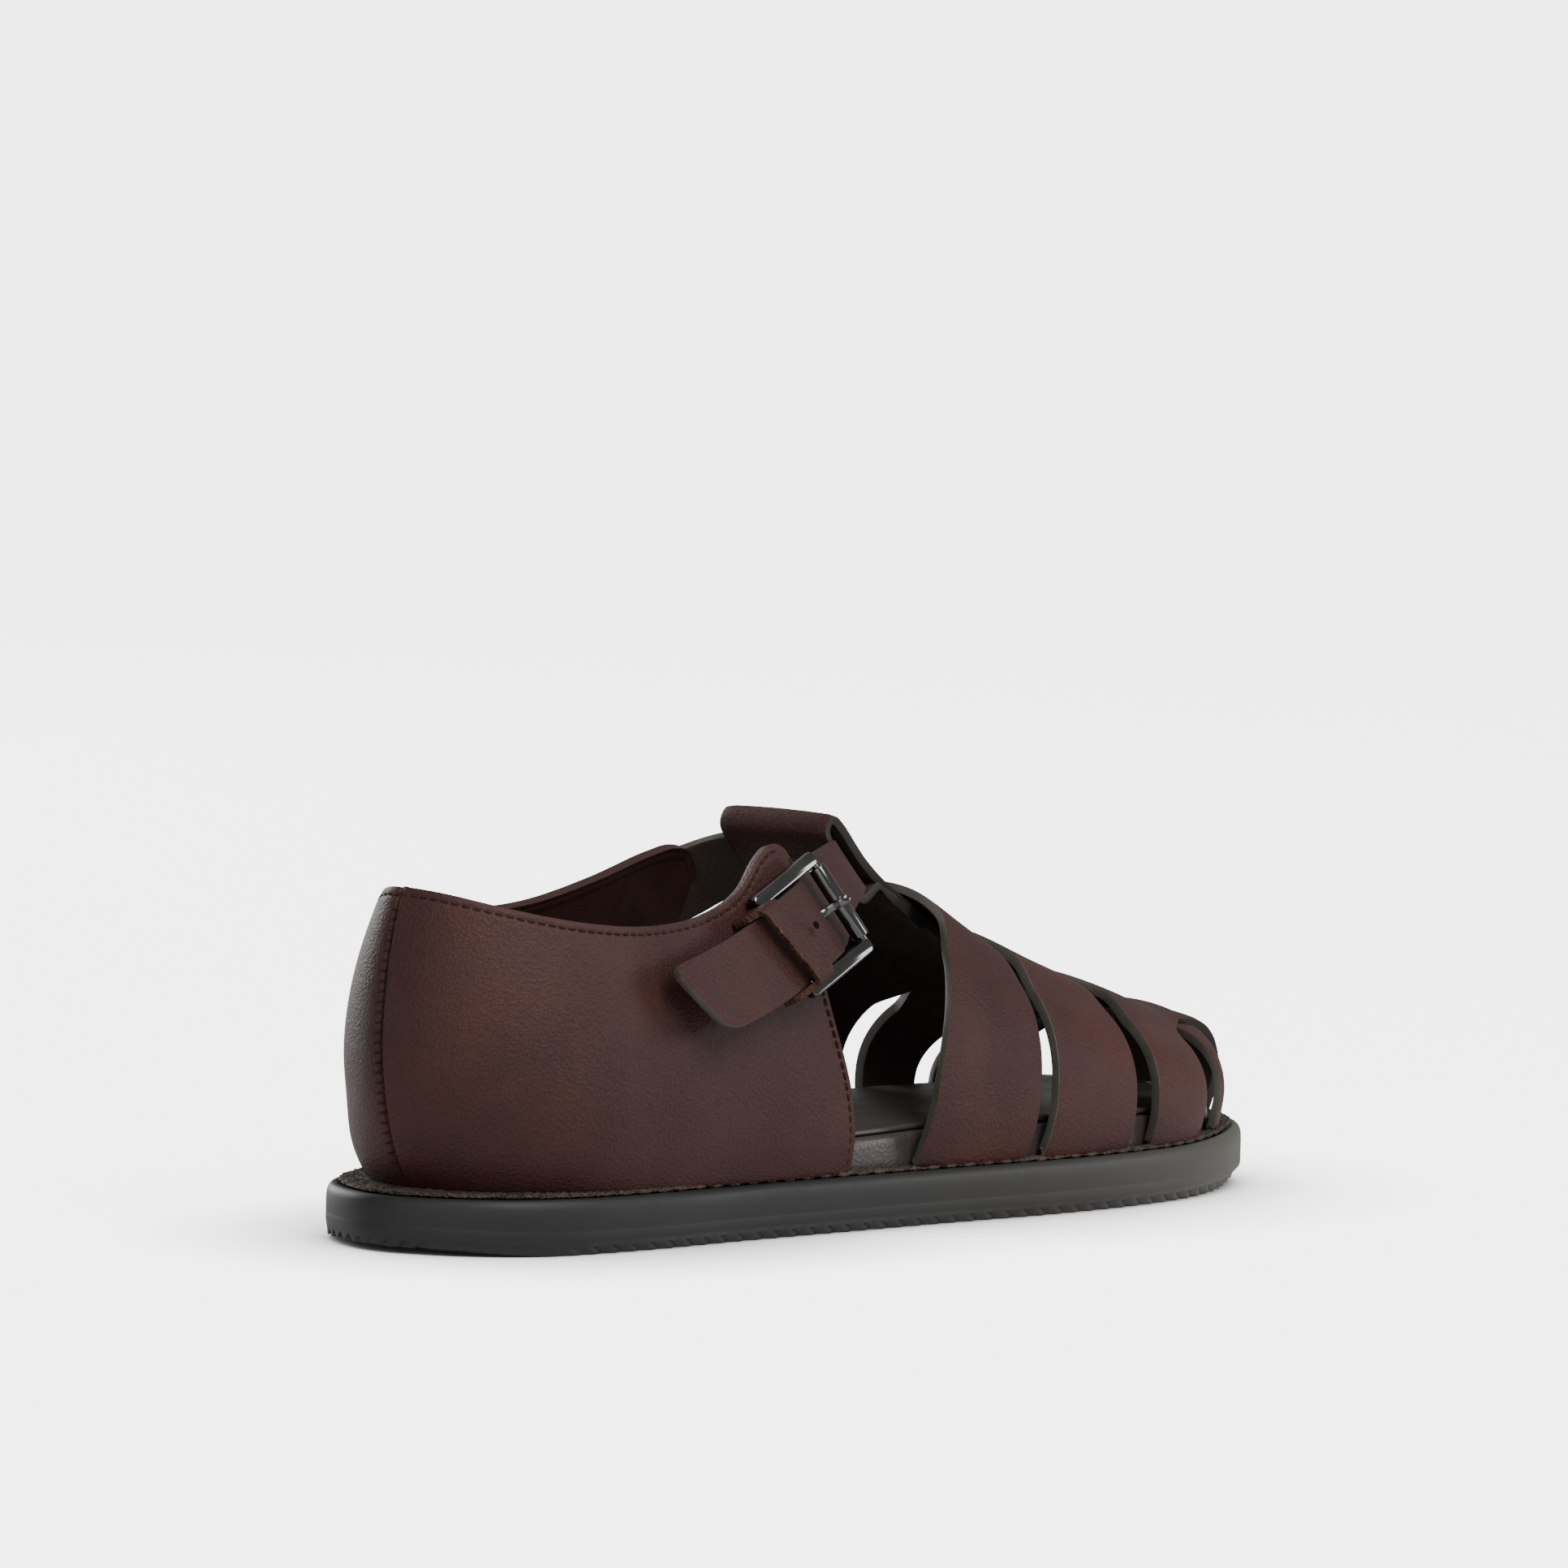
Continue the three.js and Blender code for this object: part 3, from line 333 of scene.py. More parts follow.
seamThread = finish("seamThread", {
    "dark": (0.034, 0.0150, 0.0105), "warm": (0.060, 0.0260, 0.0165), "smoky": (0.046, 0.0230, 0.0175),
    "driftScale": 120, "grainScale": 4000, "rough": (0.75, 0.9), "bump": 0.3, "depth": 0.1,
    "specular": 0.08,
})
holeShade = finish("holeShade", {
    "dark": (0.004, 0.003, 0.003), "warm": (0.006, 0.004, 0.004), "smoky": (0.008, 0.006, 0.005),
    "driftScale": 60, "grainScale": 2600, "rough": (0.8, 0.95), "bump": 0.4, "depth": 0.1, "specular": 0.05,
})
print("finishes made")

# sole

sole = {
    "length": 300, "ballHalf": 50, "toeTipY": 3, "top": 12.4, "rim": 13.2, "upperBase": 13.7,
    "at": [0.034, 0.1, 0.18, 0.28, 0.4, 0.52, 0.63, 0.73, 0.82, 0.9, 0.96],
    "lateral": [0.43, 0.69, 0.78, 0.806, 0.858, 0.915, 0.98, 0.99, 0.925, 0.755, 0.485],
    "medial": [0.47, 0.71, 0.77, 0.76, 0.765, 0.83, 0.94, 1.015, 1.0, 0.86, 0.6],
    "springFrom": 84, "springRise": 1.8, "liftFrom": -122, "liftRise": 1.6,
    "teethMedial": -47, "teethLateral": 15, "toothPitch": 4.3, "toothDepth": 1.9, "toothTop": 2.6,
    "scalesFrom": -122, "scalePitch": 5.9, "scaleDepth": 0.9, "scaleTop": 2.2, "scaleSlant": 1.6,
    "scaleShare": 0.25, "heelDraw": 0.25, "drawFrom": -128, "drawRun": 20, "drawTop": 3,
    "ridgePitch": 5, "ridgeDepth": 1.7, "ridgeGroove": 3.4, "plainFrom": -107, "plainTo": -82,
}
feather = {"x": [-150, -132, -108, -60, 60, 112, 136, 150], "inset": [12.6, 8, 4.8, 3.5, 3.4, 4, 7.2, 11]}
sideRows = [  # inset and height of the sole's side, from the floor up
    (2.2, 0.0), (2.0, 0.6), (1.75, 1.2), (1.45, 1.8), (1.0, 2.4), (0.5, 2.9), (0.15, 3.3), (0, 4.0),
    (0, 5.6), (0.03, 5.75), (0, 5.95), (0, 9.2), (0.08, 10.8), (0.3, 11.8), (0.7, 12.55), (1.2, 13.0),
    (1.7, 13.18), (2.2, 13.16), (2.6, 12.9), (3.0, 12.4),
]
heelEnd = -sole["length"] / 2
toeEnd = sole["length"] / 2


def sideKnots(side, sign):
    places = zip(sole["at"], sole[side])
    return [Vector((heelEnd + a * sole["length"], sign * w * sole["ballHalf"])) for a, w in places]


# heel tip, lateral side, toe tip, medial side
outlineKnots = [Vector((heelEnd, 0))] + sideKnots("lateral", -1)
outlineKnots += [Vector((toeEnd, sole["toeTipY"]))] + sideKnots("medial", 1)[::-1]


def knotCurve(knots, t, closed):  # centripetal curve through knots: point and direction
    n = len(knots)
    p = t * n if closed else t * (n - 1)
    i = int(math.floor(p))
    if not closed:
        i = min(i, n - 2)
    w = p - i
    if closed:
        a, b, c, d = (knots[(i + k) % n] for k in (-1, 0, 1, 2))
    else:
        b, c = knots[i], knots[i + 1]
        a = knots[i - 1] if i > 0 else b * 2 - c
        d = knots[i + 2] if i + 2 < n else c * 2 - b
    d0, d1, d2 = ((q - r).length ** 0.5 for q, r in ((b, a), (c, b), (d, c)))
    t1 = ((b - a) / d0 - (c - a) / (d0 + d1) + (c - b) / d1) * d1
    t2 = ((c - b) / d1 - (d - b) / (d1 + d2) + (d - c) / d2) * d1
    c2 = (c - b) * 3 - t1 * 2 - t2
    c3 = (b - c) * 2 + t1 + t2
    return b + (t1 + (c2 + c3 * w) * w) * w, t1 + (c2 * 2 + c3 * (3 * w)) * w


def soleEdge(t):
    p, d = knotCurve(outlineKnots, t % 1.0, True)
    d.normalize()
    return p, Vector((-d.y, d.x))


def evenStations(count):  # places along the lateral outline, evenly spaced by length
    fine = 3000
    pts = [soleEdge(0.5 * i / fine)[0] for i in range(fine + 1)]
    run = [0.0]
    for a, b in zip(pts, pts[1:]):
        run.append(run[-1] + (b - a).length)
    out, k = [], 0
    for i in range(count + 1):
        want = run[-1] * i / count
        while k < fine - 1 and run[k + 1] < want:
            k += 1
        out.append(0.5 * (k + (want - run[k]) / (run[k + 1] - run[k])) / fine)
    out[0], out[-1] = 0.0, 0.5
    return out


def featherAt(x):
    return readRow(feather["x"], feather["inset"], x)


def springAt(x, z):
    toe = ease((x - sole["springFrom"]) / (toeEnd - sole["springFrom"])) * sole["springRise"]
    heel = ease((sole["liftFrom"] - x) / (sole["liftFrom"] - heelEnd)) * sole["liftRise"]
    return toe + heel * (1 - z / sole["rim"])


def ridgeAt(x):  # depth of the ripple tread
    half = sole["ridgePitch"] / 2
    if sole["plainFrom"] - half < x < sole["plainTo"] + half:
        return 0.0
    off = abs((x - heelEnd + half) % sole["ridgePitch"] - half)
    return sole["ridgeDepth"] * max(0.0, 1 - off / (sole["ridgeGroove"] / 2))


def slab(name, stations, side, across, overTop, under, teeth=lambda x, z, run: 0.0, dip=lambda x, z: 0.0):
    # loop round each station: lateral side up, over the top, medial side down, back underneath
    count = len(side(0))
    total = 2 * count + 2 * across
    places = evenStations(stations)
    halfLength = sum((soleEdge(a)[0] - soleEdge(b)[0]).length for a, b in zip(places, places[1:]))

    def edgeAt(t, inset):
        p, inward = soleEdge(t)
        return p + inward * inset

    def place(u, v):
        t = places[round(u * stations)]
        k = round(v * total) % total
        x0 = soleEdge(t)[0].x
        run = u * halfLength
        rows = side(x0)
        if k < count:
            inset, z = rows[k]
            q = edgeAt(t, inset)
            return Vector((q.x, q.y, z + springAt(q.x, z) + teeth(q.x, z, run)))
        if k < count + across:
            s = (k - count + 1) / (across + 1)
            a, b = edgeAt(t, rows[-1][0]), edgeAt(1 - t, rows[-1][0])
            q = a.lerp(b, s)
            return Vector((q.x, q.y, overTop(q.x, rows[-1][1], s) + dip(q.x, rows[-1][1]) * s))
        if k < 2 * count + across:
            inset, z = rows[2 * count + across - 1 - k]
            q = edgeAt(1 - t, inset)
            return Vector((q.x, q.y, z + springAt(q.x, z) + teeth(q.x, z, -run) + dip(q.x, z)))
        step = k - 2 * count - across
        s = (step + 1) / (across + 1)
        if step in (0, across - 1):  # the outer rows stay close to the edge
            s = 0.07 if step == 0 else 0.93
        a, b = edgeAt(1 - t, rows[0][0]), edgeAt(t, rows[0][0])
        q = a.lerp(b, s)
        notch = teeth(q.x, 0, -run if s < 0.5 else run) if step in (0, across - 1) else 0.0
        foot = rows[0][1]
        return Vector((q.x, q.y, max(under(q.x, foot), foot + springAt(q.x, foot) + notch)))

    return sheet(name, stations, total, place, closed=True)


def toothAt(x, z, run):  # notches in the foot of the side; run counts from the heel tip, medial negative
    if z > sole["toothTop"]:
        return 0.0
    if sole["teethMedial"] < run < sole["teethLateral"]:
        wave = abs(run / sole["toothPitch"] % 1 - 0.5) * 2
        return max(0.0, sole["toothDepth"] * max(0.0, 1.5 * wave - 0.5) ** 0.6 - z)
    return sole["scaleShare"] * scaleAt(x, z) * (1 - z / sole["toothTop"])


def scaleAt(x, z):  # slanting scales cut into the drawn-in foot
    if z > sole["scaleTop"] or x < sole["scalesFrom"]:
        return 0.0
    off = (x + sole["scaleSlant"] * z) / sole["scalePitch"] % 1
    return sole["scaleDepth"] * max(0.0, 1 - abs(off - 0.5) * 2) ** 1.5


def soleSide(x):  # the foot of the side is drawn in less round the heel
    drawIn = lerp(sole["heelDraw"], 1, ease((x - sole["drawFrom"]) / sole["drawRun"]))
    return [((inset + scaleAt(x, z)) * drawIn if z < sole["drawTop"] else inset, z) for inset, z in sideRows]


soleBody = slab(
    "soleBody", 760, soleSide, 6,
    lambda x, z, s: z + springAt(x, z),
    lambda x, z: z + springAt(x, z) + ridgeAt(x),
    toothAt,
)
dress(soleBody, "sole_rubber", soleRubber)
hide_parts("outsole")
print("sole made")

# footbed and insole

bed = {
    "x": [-150, -90, -28, 6, 44, 100, 150], "z": [23.4, 22.8, 21.4, 22.3, 21.6, 20.8, 20.8],
    "wall": 2.6, "clearance": 0.15, "level": 20, "baseLevel": 13,
    "sock": 1.3, "sockInset": 1.5, "sockBase": 0.3, "dish": 0.5,
    "ballDip": 5.6, "ballAt": 74, "ballReach": 50,
}


def bedTop(x):
    return readRow(bed["x"], bed["z"], x)


def ballDip(x, z):  # the inner side of the bed lies lower under the ball of the foot
    near = max(0.0, 1 - ((x - bed["ballAt"]) / bed["ballReach"]) ** 2)
    level = (z - sole["top"]) / (bedTop(x) - springAt(x, bed["level"]) - sole["top"])
    return -bed["ballDip"] * near * min(1.0, level)


def bedSide(x):
    base = featherAt(x) + bed["wall"] + bed["clearance"]
    top = bedTop(x) - springAt(x, bed["level"])
    foot = [(base + 0.1, 12.8), (base, 13.6), (base - 0.15, 16), (base - 0.1, top - 2.2)]
    rim = [(base + 0.1, top - 1.0), (base + 0.5, top - 0.35), (base + 1.1, top - 0.05), (base + 1.6, top)]
    return foot + rim


footbed = slab("footbedBlock", 260, bedSide, 8,
               lambda x, z, s: bedTop(x),
               lambda x, z: z + springAt(x, bed["baseLevel"]), dip=ballDip)
dress(footbed, "footbed_leather", footbedLeather)
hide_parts("footbed")


def sockSide(x):
    base = featherAt(x) + bed["wall"] + bed["sockInset"]
    low = bedTop(x) + bed["sockBase"] - springAt(x, bed["level"])
    rim = [(base + 0.2, low), (base, low + 0.4), (base + 0.05, low + 0.9)]
    return rim + [(base + 0.35, low + 1.2), (base + 0.8, low + bed["sock"])]


sock = slab("insoleSock", 260, sockSide, 8,
            lambda x, z, s: z + springAt(x, bed["level"]) - bed["dish"] * ease(min(s, 1 - s) * 4),
            lambda x, z: z + springAt(x, bed["level"]), dip=ballDip)
dress(sock, "insole_leather", insoleLeather)
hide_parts("insole")
print("footbed and insole made")

# welt and its stitches

weltForm = {
    "rim": 2.95, "under": 1.4, "top": 13.45, "thickness": 0.75, "softness": 0.15,
    "rough": 0.34, "roughScale": 0.9, "fineShare": 0.6, "fineScale": 2.3,
    "stitchPitch": 6.0, "stitch": (2.3, 0.75, 0.6), "lineShare": 0.35, "lineInset": 2.6, "lineLift": 0.1,
}


def weltTop(t, share):
    p, inward = soleEdge(t)
    q = p + inward * lerp(weltForm["rim"], featherAt(p.x) + weltForm["under"], share)
    bump = noise.noise(Vector((q.x, q.y, 0)) * weltForm["roughScale"])
    bump += weltForm["fineShare"] * noise.noise(Vector((q.x, q.y, 9)) * weltForm["fineScale"])
    return Vector((q.x, q.y, weltForm["top"] + springAt(q.x, sole["rim"]) + weltForm["rough"] * bump))


welt = sheet("weltStrip", 1400, 14, weltTop, closed=True)
thicken(welt, weltForm["thickness"], weltForm["softness"])
dress(welt, "welt_leather", rawWelt)
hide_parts("welt")


def evenRow(points, pitch):  # places and directions at an even pitch along a dense line
    out, want, run = [], pitch / 2, 0.0
    for a, b in zip(points, points[1:]):
        step = (b - a).length
        while step > 0 and run + step >= want:
            out.append((a.lerp(b, (want - run) / step), (b - a).normalized()))
            want += pitch
        run += step
    return out


def stitches(name, rows, half, width, height):  # joined stitches: place, direction, outward
    bm = bmesh.new()
    for place, run, out in rows:
        side = out.cross(run).normalized()
        up = run.cross(side).normalized()
        turn = Matrix((run * half * mm, side * width * mm, up * height * mm)).transposed().to_4x4()
        turn.translation = place * mm
        bmesh.ops.create_uvsphere(bm, u_segments=8, v_segments=6, radius=1, matrix=turn)
    return keep(bm, name)


def weltLine(t):
    p, inward = soleEdge(t)
    ledge = featherAt(p.x) - weltForm["rim"]
    q = p + inward * (weltForm["rim"] + max(weltForm["lineShare"] * ledge, ledge - weltForm["lineInset"]))
    return Vector((q.x, q.y, weltForm["top"] + weltForm["lineLift"] + springAt(q.x, sole["rim"])))


weltRow = evenRow([weltLine(i / 4000) for i in range(4001)], weltForm["stitchPitch"])
weltRow = [(p, d, Vector((0, 0, 1))) for p, d in weltRow]
weltStitches = stitches("weltStitches", weltRow, *weltForm["stitch"])
dress(weltStitches, "welt_leather", rawWelt)
print("welt made")

# quarter

quarter = {
    "z": [13.7, 22, 32, 45, 60, 75, 92], "back": [-137.6, -142.6, -146, -148.2, -147.6, -144.9, -139.4],
    "lateralHeel": [0.91, 0.975, 1, 0.995, 0.95, 0.87, 0.76],
    "medialHeel": [0.94, 0.962, 0.955, 0.94, 0.885, 0.77, 0.59],
    "lateralFront": [1.065, 1.125, 1.14, 1.11, 1.035, 0.93, 0.79],
    "medialFront": [0.94, 1.01, 1.04, 1.02, 0.94, 0.83, 0.7], "heelHalf": 37.3, "heelArc": 44,
    "roundness": 2.04, "arcShare": 0.45, "wall": 2.6, "softness": 0.75, "crowdBack": 1.2, "crowdTop": 1.7,
    "seamDepth": 1.3, "seamWidth": 0.6, "seamBefore": -120,
    "seamLap": 0.35, "lapWidth": 2.5, "lapUnder": -0.4,
    "trim": 1.1, "trimRise": 0.35, "trimGain": 0.8, "trimFrom": -90, "trimRun": 30, "trimSeam": 18,
    "stitchInset": 1.8, "stitchPitch": 2.6, "stitch": (1.05, 0.34, 0.34), "stitchSink": 0.14,
    "stitchEnd": 0.955, "stitchFoot": 2, "frontSink": 0.1, "heelMiddle": -100,
    "seamStitch": (1.1, 0.34, 0.5), "seamFrom": 17.5, "seamPitch": 2.35, "seamCount": 27,
    "grooveDepth": 0.25, "grooveWidth": 0.6, "edgeFall": 0.35, "edgeRun": 0.9,
    "wave": 0.35, "waveScale": 0.03, "ripple": 0.05, "rippleScale": 0.09,
}
topline = {
    "lateral": ([-142, -132, -114, -92, -74, -60, -51, -46.5, -42, -39.6],
                [83.8, 80.4, 76.6, 75, 77, 82.2, 89.6, 91.6, 89.8, 86]),
    "medial": ([-142, -132, -114, -90, -66, -44, -26, -18, -12, -8.6],
               [83.8, 80.4, 76.2, 74, 75, 79.6, 84.8, 86, 84, 79]),
}
frontEdge = {
    "lateral": ([13, 32, 58, 86, 92], [-27, -30, -36.5, -39.6, -39.6]),
    "medial": ([13, 38, 58, 79, 92], [-25, -21, -12.5, -8.6, -8.6]),
}


def quarterPoint(side, run, z):  # run is 0 at the back seam and 1 at the front edge
    sign = -1 if side == "lateral" else 1
    back = readRow(quarter["z"], quarter["back"], z)
    front = readRow(*frontEdge[side], z)
    arc = quarter["arcShare"]
    if run < arc:
        x = back + quarter["heelArc"] * (1 - math.cos(run / arc * math.pi / 2))
    else:
        x = lerp(back + quarter["heelArc"], front, (run - arc) / (1 - arc))
    heelShare = readRow(quarter["z"], quarter[side + "Heel"], z)
    frontShare = readRow(quarter["z"], quarter[side + "Front"], z)
    half = quarter["heelHalf"] * lerp(heelShare, frontShare, ease((x - back) / (front - back)))
    turn = 1 - min(1, (x - back) / quarter["heelArc"])
    bow = max(0, 1 - turn ** quarter["roundness"]) ** (1 / quarter["roundness"])
    return Vector((x, sign * half * bow, z))


def toplineAt(side, run):
    z = topline[side][1][0]
    for _ in range(6):
        z = readRow(*topline[side], quarterPoint(side, run, z).x)
    return z


def quarterOut(side, run, z):
    step = 0.004
    if run < step:
        return Vector((-1, 0, 0))
    a = quarterPoint(side, min(1, run + step), z) - quarterPoint(side, run - step, z)
    b = quarterPoint(side, run, z + 1) - quarterPoint(side, run, z - 1)
    n = a.cross(b).normalized()
    return n if n.y * (1 if side == "medial" else -1) > 0 or run < 0.05 and n.x < 0 else -n


toplineCache = {}


def heelTrim(side, p, top):  # the inner side of the heel is a little slimmer
    if side == "lateral":
        return 0.0
    level = (p.z - sole["upperBase"]) / (top - sole["upperBase"])
    up = ease(level / quarter["trimRise"]) * (1 + quarter["trimGain"] * level)
    back = ease((quarter["trimFrom"] - p.x) / quarter["trimRun"])
    return quarter["trim"] * back * up * ease(abs(p.y) / quarter["trimSeam"])


def quarterPlace(u, v):
    side = "lateral" if u < 0.5 else "medial"
    run = abs(2 * u - 1) ** quarter["crowdBack"]  # columns crowd at the seam, rows at the topline
    key = (side, round(run, 5))
    if key not in toplineCache:
        toplineCache[key] = toplineAt(side, run)
    top = toplineCache[key]
    level = 1 - (1 - v) ** quarter["crowdTop"]
    z = lerp(sole["upperBase"], top, level)
    p = quarterPoint(side, run, z)
    out = quarterOut(side, run, z)
    fromTop = top - z
    fromFront = abs(p.x - readRow(*frontEdge[side], z))
    seam = abs(p.y)
    lift = 0.0
    if p.x < quarter["seamBefore"]:  # back seam: the outer panel laps over the inner one
        lift -= quarter["seamDepth"] * math.exp(-(seam / quarter["seamWidth"]) ** 2)
        lap = quarter["seamLap"] * math.exp(-(seam / quarter["lapWidth"]) ** 2)
        lift += lap * (1 if side == "lateral" else quarter["lapUnder"])
    lift -= heelTrim(side, p, top)
    for gap in (fromTop, fromFront):
        fromStitch = (gap - quarter["stitchInset"]) / quarter["grooveWidth"]
        lift -= quarter["grooveDepth"] * math.exp(-fromStitch ** 2)
        lift -= quarter["edgeFall"] * math.exp(-(gap / quarter["edgeRun"]) ** 2)
    lift += quarter["wave"] * noise.noise(p * quarter["waveScale"])
    lift += quarter["ripple"] * noise.noise(p * quarter["rippleScale"])
    return p + out * lift


quarterShell = sheet("quarterShell", 420, 84, quarterPlace, flip=True)
thicken(quarterShell, quarter["wall"], quarter["softness"], inner=1)
dress(quarterShell, "upper_leather", upperLeather, liningSuede)
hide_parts("upper_quarter")


def toplineStitch(side):
    dense, steps = [], 700
    for i in range(steps):
        run = i / steps * quarter["stitchEnd"]
        top = toplineAt(side, run)
        p = quarterPoint(side, run, top - quarter["stitchInset"])
        dense.append(p - quarterOut(side, run, p.z) * (quarter["stitchSink"] + heelTrim(side, p, top)))
    return dense


def frontStitch(side):
    dense, steps, nearEdge = [], 400, 0.03
    top = toplineAt(side, 1 - nearEdge) - quarter["stitchInset"]
    for i in range(steps):
        z = lerp(sole["upperBase"] + quarter["stitchFoot"], top, i / steps)
        span = (quarterPoint(side, 1, z) - quarterPoint(side, 1 - nearEdge, z)).length
        run = 1 - nearEdge * quarter["stitchInset"] / span
        dense.append(quarterPoint(side, run, z) - quarterOut(side, run, z) * quarter["frontSink"])
    return dense


def stitchOut(p):  # away from the heel's middle, and along the sides nearly straight out
    if p.x < quarter["heelMiddle"]:
        return (p - Vector((quarter["heelMiddle"], 0, p.z))).normalized()
    return Vector((0.15, -1 if p.y < 0 else 1, 0.1)).normalized()


stitchRows = []
for side in ("lateral", "medial"):
    for dense in (toplineStitch(side), frontStitch(side)):
        stitchRows += [(p, d, stitchOut(p)) for p, d in evenRow(dense, quarter["stitchPitch"])]
quarterStitches = stitches("quarterStitches", stitchRows, *quarter["stitch"])
dress(quarterStitches, "upper_leather", seamThread)
seamRows = []
for i in range(quarter["seamCount"]):
    p = quarterPoint("medial", 0.01, quarter["seamFrom"] + i * quarter["seamPitch"])
    seamRows.append((p + Vector((0.3, 0.1, 0)), Vector((0, 1, -0.2)).normalized(), Vector((-1, 0, 0))))
seamStitches = stitches("seamStitches", seamRows, *quarter["seamStitch"])
dress(seamStitches, "upper_leather", seamThread)
print("quarter made")

# vamp: middle strap with its fold, and the four cross straps

# rows run from the toe up to the fold and back underneath; the flap faces down, so its crown is negative
middle = {
    "x": [
        139.8, 141.2, 140.2, 137.2, 131.5, 122, 113, 88, 48, 18, 5, -4.6, -8.4, -10.8, -9.8, -2.4, 3.6, 10,
        16, 28,
    ],
    "y": [0, 0, 0, 0, 0, 0, 0, 0, 0.2, 0.5, 0.8, 1, 1, 1, 1, 0.8, 0.6, 0.6, 0.5, 0.4],
    "z": [
        15.5, 24, 30.4, 36.2, 40, 41.4, 41.9, 48.6, 61.2, 76.2, 83.8, 92.7, 95, 92.6, 89, 80.8, 75, 78.6,
        75.6, 69.1,
    ],
    "half": [
        14.4, 16.3, 16.7, 16.8, 16.8, 16.4, 15.6, 15.2, 15.4, 15.8, 16.2, 16.6, 16.6, 16.6, 16.6, 16.2,
        15.8, 15.6, 15.4, 15,
    ],
    "crown": [1.8, 2, 2, 2, 2, 2.2, 2.4, 2.8, 2.8, 1.8, 0.8, 0.4, 0.4, 0.4, 0.4, 0.2, -0.4, -1, -1.7, -2.4],
    "thickness": 2.0, "softness": 0.55, "edgeFall": 0.3, "edgeFrom": 0.86,
}
middleSteps = list(range(len(middle["x"])))


def middlePoint(step):
    return readRow(middleSteps, middle["x"], step), readRow(middleSteps, middle["z"], step)


def middlePlace(u, v):
    step = u * middleSteps[-1]
    x, z = middlePoint(step)
    xa, za = middlePoint(min(middleSteps[-1], step + 0.02))
    xb, zb = middlePoint(max(0, step - 0.02))
    run = Vector((xa - xb, 0, za - zb)).normalized()
    y = v * 2 - 1
    lift = middle["thickness"] / 2 - readRow(middleSteps, middle["crown"], step) * y * y
    lift -= middle["edgeFall"] * max(0, abs(y) - middle["edgeFrom"]) / (1 - middle["edgeFrom"])
    side = readRow(middleSteps, middle["y"], step) + y * readRow(middleSteps, middle["half"], step)
    return Vector((x, side, z)) + Vector((run.z, 0, -run.x)) * lift


middleStrap = sheet("middleStrap", 260, 28, middlePlace, flip=True)
thicken(middleStrap, middle["thickness"], middle["softness"], inner=1, rim=2)
# the rim takes the darker copy of the edge paint: painted shade
dress(middleStrap, "upper_leather", upperLeather, strapUnderside, edgePaintShaded)
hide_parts("upper_vamp")

vamp = {
    "line": [0, 1, 2, 3, 4], "crest": [21, 44, 77, 117, 129], "base": [-5.6, 34, 72.4, 106, 122],
    "tuck": [4, 3.6, 2.4, 1.2, 0.3], "shoulder": [2.42, 2.25, 2.3, 2, 2],
    "lean": 0.93, "widest": 0.27, "upperArc": 0.8, "thickness": 2.0,
    "walls": [2.0, 2.5, 2.5, 1.9], "softness": 0.55, "pillow": 0.3, "sink": 0.15,
}
crossStraps = {  # rear base, rear crest, front base, front crest in strap lines; rise at rear and front
    "strapA": (0, 0, 0.91, 1, 2.8, 1.3), "strapB": (1.07, 0.99, 1.87, 2.08, 2.7, 1.4),
    "strapC": (2.13, 2.06, 2.8, 3.4, 2.2, 1.2), "strapD": (3.28, 2.96, 3.9, 3.6, -1.7, -2.0),
}
parting = {  # where neighbouring straps part on the way down, how soon the gap is full, and its shift forward
    "lateral": {"rear": (0.09, 0.09, 0.09, 0.2), "front": (0.09, 0.09, 0.2, 0.1),
                "rearGrowth": (0.17, 0.17, 0.17, 0.42), "frontGrowth": (0.17, 0.17, 0.17, 0.17),
                "rearShift": (0, 0, 0, 0), "frontShift": (0, 0, 0, 0)},
    "medial": {"rear": (0.09, 0.3, 0.32, 0.3), "front": (0.3, 0.32, 0.31, 0.1),
               "rearGrowth": (0.16, 0.16, 0.16, 0.3), "frontGrowth": (0.16, 0.16, 0.16, 0.16),
               "rearShift": (0, 0, 0.04, -0.43), "frontShift": (0, 0.07, -0.12, 0)},
}
riseFade = {  # where the rise over the middle strap ends on the way down, and how soon
    "strapA": (0.26, 0.16), "strapB": (0.26, 0.16), "strapC": (0.26, 0.16), "strapD": (0.2, 0.16),
}
crestX = middle["x"][3:11][::-1]
crestZ = middle["z"][3:11][::-1]
footRing, ringSteps = [], 240
for i in range(ringSteps):
    p, inward = soleEdge(i / ringSteps)
    footRing.append(p + inward * featherAt(p.x))


def footY(side, x):
    half = ringSteps // 2
    ring = footRing[:half + 1] if side == "lateral" else (footRing[half:] + footRing[:1])[::-1]
    k = next((i for i, p in enumerate(ring) if p.x >= x and i > 0), len(ring) - 1)
    a, b = ring[k - 1], ring[k]
    return lerp(a.y, b.y, (x - a.x) / (b.x - a.x) if b.x != a.x else 0)


